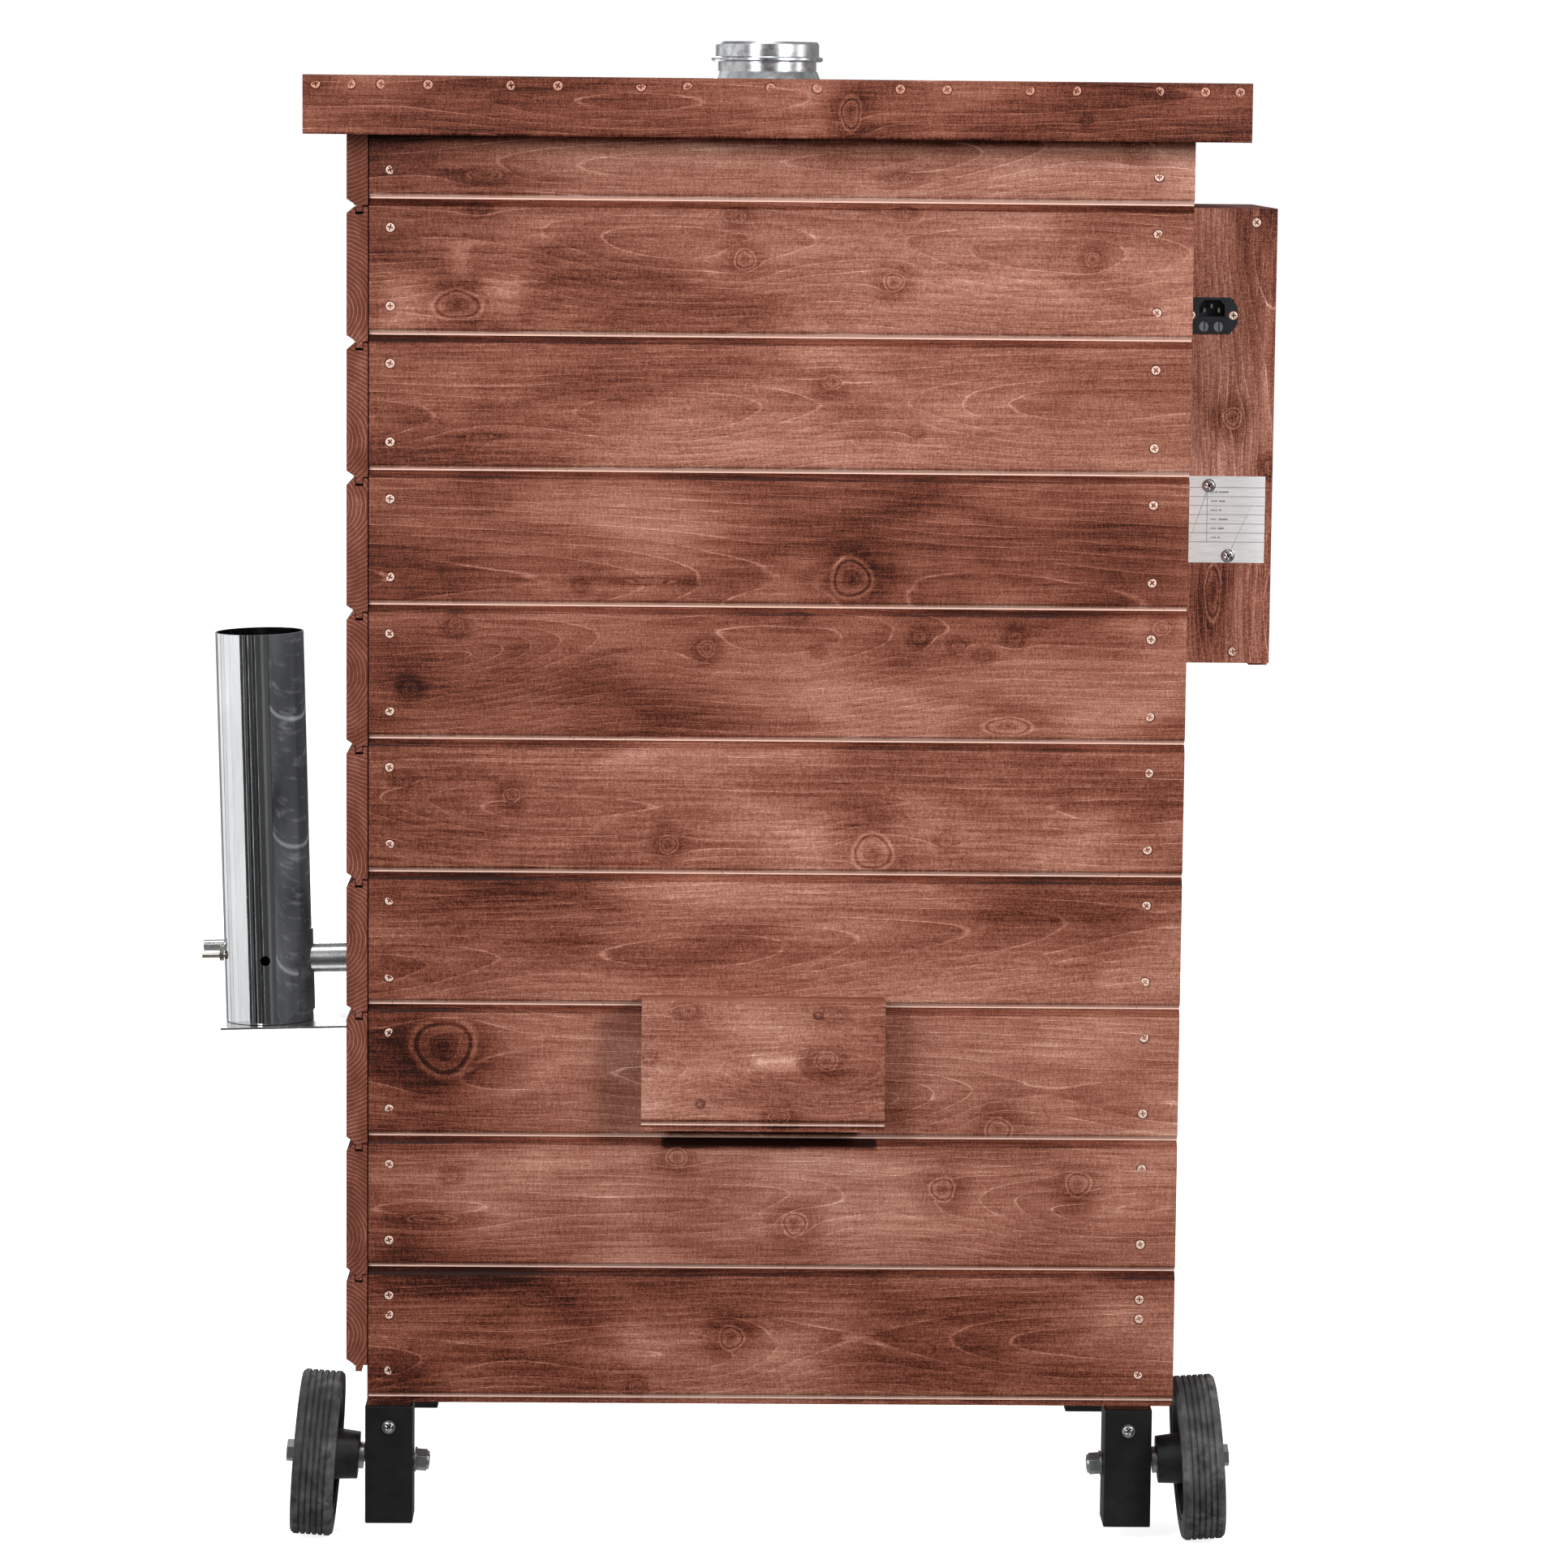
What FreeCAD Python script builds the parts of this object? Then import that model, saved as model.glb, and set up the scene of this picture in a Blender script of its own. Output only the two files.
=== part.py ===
import FreeCAD, Part
import math
import os

import Sketcher

from FreeCAD import Placement, Rotation, Vector

# Electric cabinet smoker: a timber cabinet on two wheels and two fixed feet, with an
# insulated steel chamber, a side control box, an outside smoke generator and a flue.
# Frame: origin on the floor below the middle of the whole object, +Z up, door towards -Y.

X_AXIS = Vector(1, 0, 0)
Y_AXIS = Vector(0, 1, 0)
Z_AXIS = Vector(0, 0, 1)

SIZES = {
    # cabinet
    "centre_x": -32.57,         # middle of the cabinet in X
    "rear_y": 330.0,            # outer face of the rear boards
    "cabinet_width": 800.0,
    "cabinet_depth": 660.0,     # rear boards to door face
    "roof_top": 1412.0,
    "wall_base": 145.0,         # bottom of the rear boards
    "side_base": 177.0,         # bottom of the side boards
    "side_drop": 6.5,           # side joints sit this much below the rear ones
    # tongue-and-groove boards
    "board_thick": 20.0,
    "board_pitch": 128.0,
    "board_gap": 0.6,
    "tongue_long": 6.0,
    "tongue_thick": 6.0,
    "tongue_inset": 5.0,
    "vee_tall": 6.0,
    "vee_deep": 8.0,
    "end_gap": 0.8,
    # roof
    "fascia_tall": 55.0,
    "fascia_thick": 20.0,
    "fascia_edge": 2.0,
    "overhang_left": 37.0,
    "overhang_right": 48.0,
    "overhang_rear": 50.0,
    "overhang_front": 50.0,
    "roof_board_gap": 1.0,
    # frame
    "post_side": 42.0,
    "post_base": 18.0,
    "frame_board": 20.0,
    "stile_wide": 70.0,
    "door_gap": 7.0,
    "sleeve_wall": 2.0,
    "sleeve_top": 133.0,
    "sleeve_base": 16.0,
    # chamber
    "sheet_thick": 1.5,
    "chamber_vent": 25.0,       # radius of the air inlet in the rear wall
    "rack_level_low": 640.0,
    "rack_step": 250.0,
    "wire_radius": 3.0,
    "rod_level": 1270.0,
    "heater_level": 262.0,
    "heater_radius": 4.25,
    # flue
    "flue_radius": 49.0,
    "flue_wall": 1.0,
    "flue_low": 1338.0,
    "flue_high": 1449.0,
    "cap_skirt_radius": 51.6,
    "cap_tall": 19.0,
    "cap_bead": 2.0,
    # smoke generator
    "gen_forward": 215.0,       # tube axis from the rear face
    "gen_pipe_z": 543.0,        # smoke pipe axis at the wall
    "gen_reach": 89.5,          # tube axis from the wall
    "gen_radius": 43.5,
    "gen_wall": 1.5,
    "gen_tall": 387.0,
    "gen_below": 60.5,          # tube bottom below the pipe axis
    "smoke_pipe_radius": 15.0,
    "shelf_long": 133.0,
    "shelf_wide": 108.0,
    "bracket_tall": 100.0,
    "bracket_thick": 2.0,
    # control box
    "box_reach": 90.0,
    "box_base": 854.0,
    "box_tall": 439.5,
    "box_forward": 107.0,       # box rear face from the cabinet's rear face
    "box_deep": 250.0,
    "box_board": 18.0,
    "cover_drop": 3.5,
    # wheels
    "wheel_radius": 80.0,
    "wheel_wide": 40.0,
    "wheel_gap": 27.0,          # leg sleeve to the inner tread edge
    "rim_radius": 61.0,
    "hub_radius": 25.0,
    "axle_radius": 6.0,
    "axle_inset": 41.0,         # axle from the rear face
    "wheel_rise": 81.25,        # wheel centre above the floor
    # vent cover
    "cover_wide": 232.0,
    "cover_tall": 121.0,
    "cover_base": 421.0,
    "cover_stand": 25.0,
}

CAMBER = 4.0            # degrees, wheel tops lean towards the cabinet
GENERATOR_TILT = 1.5    # degrees, the generator leans away and down

doc = FreeCAD.newDocument("cabinet_smoker")
sheet = doc.addObject("Spreadsheet::Sheet", "Sizes")


class Size:
    """A number together with the spreadsheet expression that it comes from."""

    def __init__(self, text, number):
        self.text = text
        self.number = number

    def __add__(self, other):
        return Size(f"({self.text} + {text_of(other)})", self.number + number_of(other))

    def __radd__(self, other):
        return Size(f"({text_of(other)} + {self.text})", number_of(other) + self.number)

    def __sub__(self, other):
        return Size(f"({self.text} - {text_of(other)})", self.number - number_of(other))

    def __rsub__(self, other):
        return Size(f"({text_of(other)} - {self.text})", number_of(other) - self.number)

    def __mul__(self, other):
        return Size(f"({self.text} * {text_of(other)})", self.number * number_of(other))

    def __rmul__(self, other):
        return self * other

    def __truediv__(self, other):
        return Size(f"({self.text} / {text_of(other)})", self.number / number_of(other))

    def __neg__(self):
        return Size(f"(0 - {self.text})", -self.number)


def text_of(value):
    return value.text if isinstance(value, Size) else f"{value:.6g}"


def number_of(value):
    return value.number if isinstance(value, Size) else float(value)


def fill_sheet():
    """Write every driving size into the sheet and return them by name."""
    named = {}
    for row, (name, value) in enumerate(SIZES.items(), start=1):
        sheet.set(f"A{row}", name)
        sheet.set(f"B{row}", str(value))
        sheet.setAlias(f"B{row}", name)
        named[name] = Size(f"Sizes.{name}", value)
    doc.recompute()
    return named


class Names:
    """Gives each driving size as an attribute."""

    def __init__(self, named):
        self.__dict__.update(named)


d = Names(fill_sheet())


# ---- building blocks -------------------------------------------------------------------

def bind(thing, prop, value):
    thing.setExpression(prop, text_of(value))


def place(thing, x, y, z, axis=Z_AXIS, angle=0.0):
    thing.Placement = Placement(Vector(number_of(x), number_of(y), number_of(z)),
                                Rotation(axis, angle))
    bind(thing, "Placement.Base.x", x)
    bind(thing, "Placement.Base.y", y)
    bind(thing, "Placement.Base.z", z)
    return thing


def box(name, low, size):
    """A block from its lowest corner and its three sizes."""
    thing = doc.addObject("Part::Box", name)
    bind(thing, "Length", size[0])
    bind(thing, "Width", size[1])
    bind(thing, "Height", size[2])
    return place(thing, *low)


def span_box(name, low, high):
    """A block from its lowest and highest corners."""
    return box(name, low, [b - a for a, b in zip(low, high)])


TURN = {"x": (Y_AXIS, 90.0), "y": (X_AXIS, -90.0), "z": (Z_AXIS, 0.0)}


def rod(name, start, radius, length, along="z", tilt=0.0):
    """A cylinder that runs from start along +X, +Y or +Z, tilted about Y if asked."""
    thing = doc.addObject("Part::Cylinder", name)
    bind(thing, "Radius", radius)
    bind(thing, "Height", length)
    axis, angle = TURN[along]
    place(thing, *start, axis, angle)
    if tilt:
        turned_by = Rotation(Y_AXIS, tilt).multiply(Rotation(axis, angle))
        thing.Placement = Placement(thing.Placement.Base, turned_by)
    return thing


def group(name, members):
    thing = doc.addObject("Part::Compound", name)
    thing.Links = members
    return thing


def fuse(name, members):
    thing = doc.addObject("Part::MultiFuse", name)
    thing.Shapes = members
    return thing


def cut(name, base, tool):
    thing = doc.addObject("Part::Cut", name)
    thing.Base = base
    thing.Tool = tool
    return thing


def outline(body, name, role, points):
    """A closed sketch on one of the body's own planes, every corner bound to its sizes."""
    sketch = body.newObject("Sketcher::SketchObject", name)
    plane = [p for p in body.Origin.OriginFeatures if p.Role == role][0]
    sketch.AttachmentSupport = [(plane, "")]
    sketch.MapMode = "FlatFace"
    corners = [Vector(number_of(u), number_of(v), 0) for u, v in points]
    for start, end in zip(corners, corners[1:] + corners[:1]):
        sketch.addGeometry(Part.LineSegment(start, end), False)
    count = len(corners)
    for line in range(count):
        sketch.addConstraint(Sketcher.Constraint("Coincident", line, 2, (line + 1) % count, 1))
    for line, (u, v) in enumerate(points):
        for kind, value in (("DistanceX", u), ("DistanceY", v)):
            where = sketch.addConstraint(
                Sketcher.Constraint(kind, -1, 1, line, 1, number_of(value)))
            if isinstance(value, Size):
                sketch.setExpression(f"Constraints[{where}]", value.text)
    return sketch


def pushed(name, role, points, depth):
    """A body: an outline padded along +X (YZ_Plane), +Y (XZ_Plane) or +Z (XY_Plane)."""
    body = doc.addObject("PartDesign::Body", name)
    sketch = outline(body, name + "_outline", role, points)
    pad = body.newObject("PartDesign::Pad", name + "_pad")
    pad.Profile = sketch
    bind(pad, "Length", depth)
    pad.Reversed = role == "XZ_Plane"
    sketch.Visibility = False
    return body


def turned(name, points):
    """A body: an outline of (radius, height) points revolved about its own Z axis."""
    body = doc.addObject("PartDesign::Body", name)
    sketch = outline(body, name + "_outline", "XZ_Plane", points)
    spin = body.newObject("PartDesign::Revolution", name + "_spin")
    spin.Profile = sketch
    spin.ReferenceAxis = (sketch, ["V_Axis"])
    spin.Angle = 360.0
    sketch.Visibility = False
    return body


def along_x(thing, x, y, z, side=1, tilt=0.0):
    """Lay a turned body's axis along X, pointing to +X or -X, then tilt it about Y."""
    place(thing, x, y, z)
    thing.Placement = Placement(thing.Placement.Base, Rotation(Y_AXIS, 90.0 * side + tilt))
    return thing


NODES = []


def node(name, thing):
    """Name a finished sub-part, so that it is checked and written under that name."""
    thing.Label = name
    NODES.append(thing)
    return thing


# ---- places worked out from the driving sizes --------------------------------------------

half = d.cabinet_width / 2
left_x = d.centre_x + half                      # outer face of the left (+X) wall
right_x = d.centre_x - half
post_left = left_x - d.board_thick
post_right = right_x + d.board_thick
rear_inner = d.rear_y - d.board_thick           # inner face of the rear boards
front_y = d.rear_y - d.cabinet_depth            # outer face of the door
gen_y = d.rear_y - d.gen_forward
box_rear_y = d.rear_y - d.box_forward
frame_y = front_y + d.board_thick + d.door_gap  # face of the fixed front frame
frame_back = frame_y + d.frame_board
wall_top = d.roof_top - d.board_thick
fascia_base = d.roof_top - d.fascia_tall
liner_left = post_left - d.post_side            # outer faces of the chamber lining
liner_right = post_right + d.post_side
liner_rear = rear_inner - d.post_side
floor_z = d.side_base + d.post_side
ceiling_z = wall_top - d.post_side
door_left = left_x - 2.0
door_right = right_x + 16.0
door_base = d.wall_base + 8.0
door_top = fascia_base - 4.0
opening_left = left_x - d.stile_wide
opening_right = right_x + d.stile_wide
opening_base = floor_z + 6.0
opening_top = ceiling_z - 20.0


# ---- boards ------------------------------------------------------------------------------

def board(name, tall, long, tongue=True, groove=True):
    """A tongue-and-groove board: length along its own +X, outer face towards its own -Y.

    The sketch lies in the YZ plane with 0 at the outer face and the lower shoulder."""
    inner = d.board_thick
    tongue_in = inner - d.tongue_inset
    tongue_out = tongue_in - d.tongue_thick
    top = tall - d.board_gap if groove else tall
    slot_play = 0.3
    points = [(d.vee_deep, 0.0)] if tongue else [(0.0, 0.0)]
    if tongue:
        points += [(tongue_out, 0.0), (tongue_out, -d.tongue_long),
                   (tongue_in, -d.tongue_long), (tongue_in, 0.0)]
    points += [(inner, 0.0), (inner, top)]
    if groove:
        depth = d.tongue_long + 1.0
        points += [(tongue_in + slot_play, top), (tongue_in + slot_play, top - depth),
                   (tongue_out - slot_play, top - depth), (tongue_out - slot_play, top),
                   (d.vee_deep, top), (0.0, top - d.vee_tall)]
    else:
        points += [(0.0, top)]
    if tongue:
        points += [(0.0, d.vee_tall)]
    return pushed(name, "YZ_Plane", points, long)


def wall(name, base, first_tall, top, long, spot, angle):
    """A stack of boards from base to top; spot is the corner that each board starts from."""
    boards = []
    low = base
    tall = first_tall
    while number_of(low) < number_of(top) - 1.0:
        last = number_of(low + tall) > number_of(top) - 1.0
        height = top - low if last else tall
        piece = board(f"{name}_{len(boards)}", height, long, True, not last)
        place(piece, spot[0], spot[1], low, Z_AXIS, angle)
        boards.append(piece)
        low = low + height
        tall = d.board_pitch
    return group(name + "_stack", boards)


def countersunk(name, head, along, sign):
    """A screw with a cone head and a plain shank, its head flush at the point given."""
    head_radius = 4.0
    shank_radius = 1.75
    head_deep = 2.6
    shank_long = 14.0
    axis, angle = TURN[along]
    angle = angle if sign > 0 else angle + 180.0
    top = doc.addObject("Part::Cone", name + "_head")
    bind(top, "Radius1", head_radius)
    bind(top, "Radius2", shank_radius)
    bind(top, "Height", head_deep)
    shank = doc.addObject("Part::Cylinder", name + "_shank")
    bind(shank, "Radius", shank_radius)
    bind(shank, "Height", head_deep + shank_long)
    for piece in (top, shank):
        if along == "z":
            place(piece, *head, X_AXIS, 0.0 if sign > 0 else 180.0)
        else:
            place(piece, *head, axis, angle)
    return [top, shank]


def screw_rows(base, first_tall, top, edge):
    """Heights of the two screws that hold each board of a wall."""
    heights = []
    low = base
    tall = first_tall
    while number_of(low) < number_of(top) - 1.0:
        last = number_of(low + tall) > number_of(top) - 1.0
        if last:
            heights.append(low + edge)
        else:
            heights += [low + edge, low + tall - edge]
        low = low + tall
        tall = d.board_pitch
    return heights


screw_edge = 27.0
low_row_extra = 82.0
screw_end = 22.0

rear_wall = wall("rear_wall", d.wall_base, d.board_pitch, wall_top,
                 d.cabinet_width - d.board_thick - d.end_gap,
                 (post_left - d.end_gap, d.rear_y), 180.0)
rear_screws = []
for place_x in (post_left - screw_end, right_x + screw_end + 12.0):
    for height in screw_rows(d.wall_base, d.board_pitch, wall_top, screw_edge):
        tag = f"rear_screw_{len(rear_screws)}"
        rear_screws += countersunk(tag, (place_x, d.rear_y, height), "y", -1)
    tag = f"rear_screw_{len(rear_screws)}"
    rear_screws += countersunk(tag, (place_x, d.rear_y, d.wall_base + low_row_extra), "y", -1)
rear_screw_group = fuse("rear_screws", rear_screws)
vent_hole = rod("vent_hole", (d.centre_x, liner_rear - 10.0, d.cover_base + d.cover_tall / 2),
                d.chamber_vent, d.post_side + d.board_thick + 20.0, "y")
rear_drilled = cut("rear_wall_drilled", rear_wall, rear_screw_group)
node("rear_wall_boards", cut("rear_wall_open", rear_drilled, vent_hole))

side_first = d.wall_base - d.side_drop + d.board_pitch - d.side_base
side_long = d.rear_y - frame_back
left_wall = wall("left_wall", d.side_base, side_first, wall_top, side_long,
                 (left_x, frame_back), 90.0)
right_wall = wall("right_wall", d.side_base, side_first, wall_top, side_long - d.board_thick,
                  (right_x, d.rear_y - d.board_thick), -90.0)
side_screws = {"left": [], "right": []}
for side, wall_x, sign in (("left", left_x, -1), ("right", right_x, 1)):
    for place_y in (rear_inner - screw_end, frame_back + screw_end):
        for height in screw_rows(d.side_base, side_first, wall_top, screw_edge - 3.0):
            tag = f"{side}_screw_{len(side_screws[side])}"
            side_screws[side] += countersunk(tag, (wall_x, place_y, height), "x", sign)
left_screw_group = fuse("left_screws", side_screws["left"])
right_screw_group = fuse("right_screws", side_screws["right"])
pipe_hole = rod("smoke_pipe_hole", (left_x - 100.0, gen_y, d.gen_pipe_z + 2.6),
                d.smoke_pipe_radius + 3.0, 120.0, "x", GENERATOR_TILT)
left_drilled = cut("left_wall_drilled", left_wall, left_screw_group)
node("left_wall_boards", cut("left_wall_open", left_drilled, pipe_hole))
node("right_wall_boards", cut("right_wall_drilled", right_wall, right_screw_group))
node("wall_screws", group("wall_screws", [rear_screw_group, left_screw_group,
                                          right_screw_group]))


# ---- posts, rails and leg sleeves ----------------------------------------------------------

def wheel_place(side):
    """Wheel centre, and the tilt of its outward axis about Y."""
    reach = d.sleeve_wall + d.wheel_gap + d.wheel_wide / 2
    if side == "left":
        return post_left + reach, CAMBER * -1, 1
    return post_right - reach, CAMBER, -1


def axle_hole(name, side, radius):
    """A cylinder along the cambered axle, through the leg and out to the wheel."""
    wheel_x, tilt, sign = wheel_place(side)
    reach = 140.0
    slope = math.radians(CAMBER)
    start_x = wheel_x - sign * reach * math.cos(slope)
    start_z = d.wheel_rise - reach * math.sin(slope)
    thing = doc.addObject("Part::Cylinder", name)
    bind(thing, "Radius", radius)
    bind(thing, "Height", 170.0)
    return along_x(thing, start_x, d.rear_y - d.axle_inset, start_z, sign, tilt)


post_spots = {
    "rear_left": (post_left - d.post_side, rear_inner - d.post_side),
    "rear_right": (post_right, rear_inner - d.post_side),
    "front_left": (post_left - d.post_side, frame_back),
    "front_right": (post_right, frame_back),
}
posts = []
sleeves = []
for spot, (low_x, low_y) in post_spots.items():
    rear = spot.startswith("rear")
    base = d.sleeve_base if rear else 0.0
    post = box(spot + "_post", (low_x, low_y, d.post_base),
               (d.post_side, d.post_side, wall_top - d.post_base))
    outer = box(spot + "_sleeve_outer",
                (low_x - d.sleeve_wall, low_y - d.sleeve_wall, base),
                (d.post_side + d.sleeve_wall * 2, d.post_side + d.sleeve_wall * 2,
                 d.sleeve_top - base))
    inner = box(spot + "_sleeve_inner", (low_x, low_y, base + d.sleeve_wall),
                (d.post_side, d.post_side, d.sleeve_top))
    if not rear:
        inner = box(spot + "_sleeve_bore", (low_x, low_y, d.post_base),
                    (d.post_side, d.post_side, d.sleeve_top))
    sleeve = cut(spot + "_sleeve", outer, inner)
    if rear:
        side = "left" if spot.endswith("left") else "right"
        hole = axle_hole(spot + "_axle_hole", side, d.axle_radius)
        post = cut(spot + "_post_bored", post, hole)
        sleeve = cut(spot + "_sleeve_bored", sleeve, hole)
    posts.append(post)
    sleeves.append(sleeve)
node("corner_posts", group("corner_posts", posts))
node("leg_sleeves", group("leg_sleeves", sleeves))

rails = []
for level, low_z in (("low", d.side_base), ("high", ceiling_z)):
    rails.append(span_box(f"rear_rail_{level}",
                          (post_right + d.post_side, rear_inner - d.post_side, low_z),
                          (post_left - d.post_side, rear_inner, low_z + d.post_side)))
    rails.append(span_box(f"front_rail_{level}",
                          (post_right + d.post_side, frame_back, low_z),
                          (post_left - d.post_side, frame_back + d.post_side,
                           low_z + d.post_side)))
    for side, low_x in (("left", post_left - d.post_side), ("right", post_right)):
        rails.append(span_box(f"{side}_rail_{level}",
                              (low_x, frame_back + d.post_side, low_z),
                              (low_x + d.post_side, rear_inner - d.post_side,
                               low_z + d.post_side)))
node("frame_rails", group("frame_rails", rails))

stile_base = d.wall_base
front_frame = [
    span_box("frame_stile_left", (opening_left, frame_y, stile_base),
             (left_x, frame_back, wall_top)),
    span_box("frame_stile_right", (right_x, frame_y, stile_base),
             (opening_right, frame_back, wall_top)),
    span_box("frame_sill", (opening_right, frame_y, stile_base),
             (opening_left, frame_back, opening_base)),
    span_box("frame_head", (opening_right, frame_y, opening_top),
             (opening_left, frame_back, wall_top)),
]
node("front_frame", group("front_frame", front_frame))


# ---- chamber lining and insulation ---------------------------------------------------------

chamber_front = frame_back + d.post_side
lining = [
    span_box("lining_left_sheet", (liner_left - d.sheet_thick, frame_back, floor_z),
             (liner_left, liner_rear, ceiling_z)),
    span_box("lining_right_sheet", (liner_right, frame_back, floor_z),
             (liner_right + d.sheet_thick, liner_rear, ceiling_z)),
    span_box("lining_rear_sheet",
             (liner_right + d.sheet_thick, liner_rear - d.sheet_thick, floor_z),
             (liner_left - d.sheet_thick, liner_rear, ceiling_z)),
]
lining[0] = cut("lining_left_holed", lining[0], pipe_hole)
lining[2] = cut("lining_rear_holed", lining[2], vent_hole)
floor_edge = liner_right + d.sheet_thick
lining.append(span_box("lining_floor_sheet", (floor_edge, frame_back, floor_z),
                       (liner_left - d.sheet_thick, liner_rear - d.sheet_thick,
                        floor_z + d.sheet_thick)))
flue_y = (d.rear_y + front_y) / 2
flue_hole = rod("flue_hole", (d.centre_x, flue_y, d.flue_low - 20.0), d.flue_radius + 0.5, 140.0)
ceiling = span_box("ceiling_sheet", (floor_edge, frame_back, ceiling_z - d.sheet_thick),
                   (liner_left - d.sheet_thick, liner_rear - d.sheet_thick, ceiling_z))
lining.append(cut("lining_ceiling_holed", ceiling, flue_hole))
node("chamber_lining", group("chamber_lining", lining))

wool_base = floor_z
wool = [
    cut("wool_left_holed",
        span_box("wool_left", (liner_left, chamber_front, wool_base),
                 (post_left, liner_rear, ceiling_z)), pipe_hole),
    span_box("wool_right", (post_right, chamber_front, wool_base),
             (liner_right, liner_rear, ceiling_z)),
    cut("wool_rear_holed",
        span_box("wool_rear", (liner_right, liner_rear, wool_base),
                 (liner_left, rear_inner, ceiling_z)), vent_hole),
    cut("wool_top_holed",
        span_box("wool_top", (liner_right, chamber_front, ceiling_z),
                 (liner_left, liner_rear, wall_top)), flue_hole),
]
node("chamber_insulation", group("chamber_insulation", wool))


# ---- roof ----------------------------------------------------------------------------------

roof_left = left_x + d.overhang_left
roof_right = right_x - d.overhang_right
roof_rear = d.rear_y + d.overhang_rear
roof_front = front_y - d.overhang_front
roof_count = 7
inner_wide = roof_left - roof_right - d.fascia_thick * 2
slat = inner_wide / roof_count
roof_boards = []
for index in range(roof_count):
    low_x = roof_right + d.fascia_thick + slat * index
    plank = span_box(f"roof_board_{index}", (low_x, roof_front + d.fascia_thick, wall_top),
                     (low_x + slat - d.roof_board_gap, roof_rear - d.fascia_thick, d.roof_top))
    roof_boards.append(plank)
node("roof_boards", cut("roof_boards_holed", group("roof_board_set", roof_boards), flue_hole))


def fascia(name, low, high):
    """A roof edging board with eased outer edges."""
    block = span_box(name + "_block", low, high)
    doc.recompute()
    eased = doc.addObject("Part::Fillet", name)
    eased.Base = block
    radius = number_of(d.fascia_edge)
    eased.Edges = [(index, radius, radius) for index in range(1, 13)]
    return eased


fascia_blocks = [
    fascia("rear_fascia", (roof_right, roof_rear - d.fascia_thick, fascia_base),
           (roof_left, roof_rear, d.roof_top)),
    fascia("front_fascia", (roof_right, roof_front, fascia_base),
           (roof_left, roof_front + d.fascia_thick, d.roof_top)),
    fascia("left_fascia", (roof_left - d.fascia_thick, roof_front + d.fascia_thick, fascia_base),
           (roof_left, roof_rear - d.fascia_thick, d.roof_top)),
    fascia("right_fascia", (roof_right, roof_front + d.fascia_thick, fascia_base),
           (roof_right + d.fascia_thick, roof_rear - d.fascia_thick, d.roof_top)),
]
roof_screw_heads = []
screw_z = d.roof_top - 8.5
end_pair = (12.0, 45.0)
board_pair = (0.2, 0.56)
along_roof = [roof_left - edge for edge in end_pair]
along_roof += [roof_right + edge for edge in end_pair]
for index in range(roof_count):
    for share in board_pair:
        along_roof.append(roof_right + d.fascia_thick + slat * (index + share))
for number, place_x in enumerate(along_roof):
    tag = f"roof_screw_{number}"
    roof_screw_heads += countersunk(tag + "_rear", (place_x, roof_rear, screw_z), "y", -1)
    roof_screw_heads += countersunk(tag + "_front", (place_x, roof_front, screw_z), "y", 1)
fascia_screws = fuse("fascia_screws", roof_screw_heads)
node("roof_fascias", cut("roof_fascias_drilled", group("fascia_set", fascia_blocks),
                         fascia_screws))
node("fascia_screws", fascia_screws)

# flue pipe, roof collar and lift-off cap
flue_inner = d.flue_radius - d.flue_wall
flue_pipe = turned("chimney_pipe", [(flue_inner, 0.0), (d.flue_radius, 0.0),
                                    (d.flue_radius, d.flue_high - d.flue_low),
                                    (flue_inner, d.flue_high - d.flue_low)])
node("chimney_pipe", place(flue_pipe, d.centre_x, flue_y, d.flue_low))
collar_radius = d.flue_radius + 28.0
collar = turned("chimney_collar", [(d.flue_radius, 0.0), (collar_radius, 0.0),
                                   (collar_radius, 1.0), (d.flue_radius + 4.0, 1.0),
                                   (d.flue_radius + 1.0, 9.0), (d.flue_radius, 9.0)])
node("chimney_collar", place(collar, d.centre_x, flue_y, d.roof_top))
skirt = d.cap_skirt_radius
cap_inner = skirt - d.flue_wall
bead_out = skirt + d.cap_bead * 2
cap = turned("chimney_cap", [
    (0.0, d.cap_tall - d.flue_wall), (cap_inner - 2.0, d.cap_tall - d.flue_wall),
    (cap_inner, d.cap_tall - 3.0), (cap_inner, 0.0), (skirt + 2.0, -0.6),
    (bead_out, 0.8), (bead_out, 3.0), (skirt + 2.0, 4.2), (skirt, 4.2),
    (skirt, d.cap_tall - 2.5), (skirt - 2.0, d.cap_tall), (0.0, d.cap_tall)])
cap_base = d.flue_high - d.cap_tall + d.flue_wall + 0.4
node("chimney_cap", place(cap, d.centre_x, flue_y, cap_base))


# ---- chamber fittings ----------------------------------------------------------------------

inside_left = liner_left - d.sheet_thick
inside_right = liner_right + d.sheet_thick
inside_rear = liner_rear - d.sheet_thick
rail_wide = 14.0
rail_thick = 3.0
fitting_front = frame_back + 30.0
fitting_rear = inside_rear - 20.0
fitting_deep = fitting_rear - fitting_front
rack_levels = [d.rack_level_low, d.rack_level_low + d.rack_step]
tray_level = d.heater_level + 68.0
support_rails = []
for number, level in enumerate([tray_level] + rack_levels + [d.rod_level]):
    for side, low_x in (("left", inside_left - rail_wide), ("right", inside_right)):
        support_rails.append(box(f"support_{side}_{number}", (low_x, fitting_front, level),
                                 (rail_wide, fitting_deep, rail_thick)))
node("rack_rails", group("rack_rails", support_rails))


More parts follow.
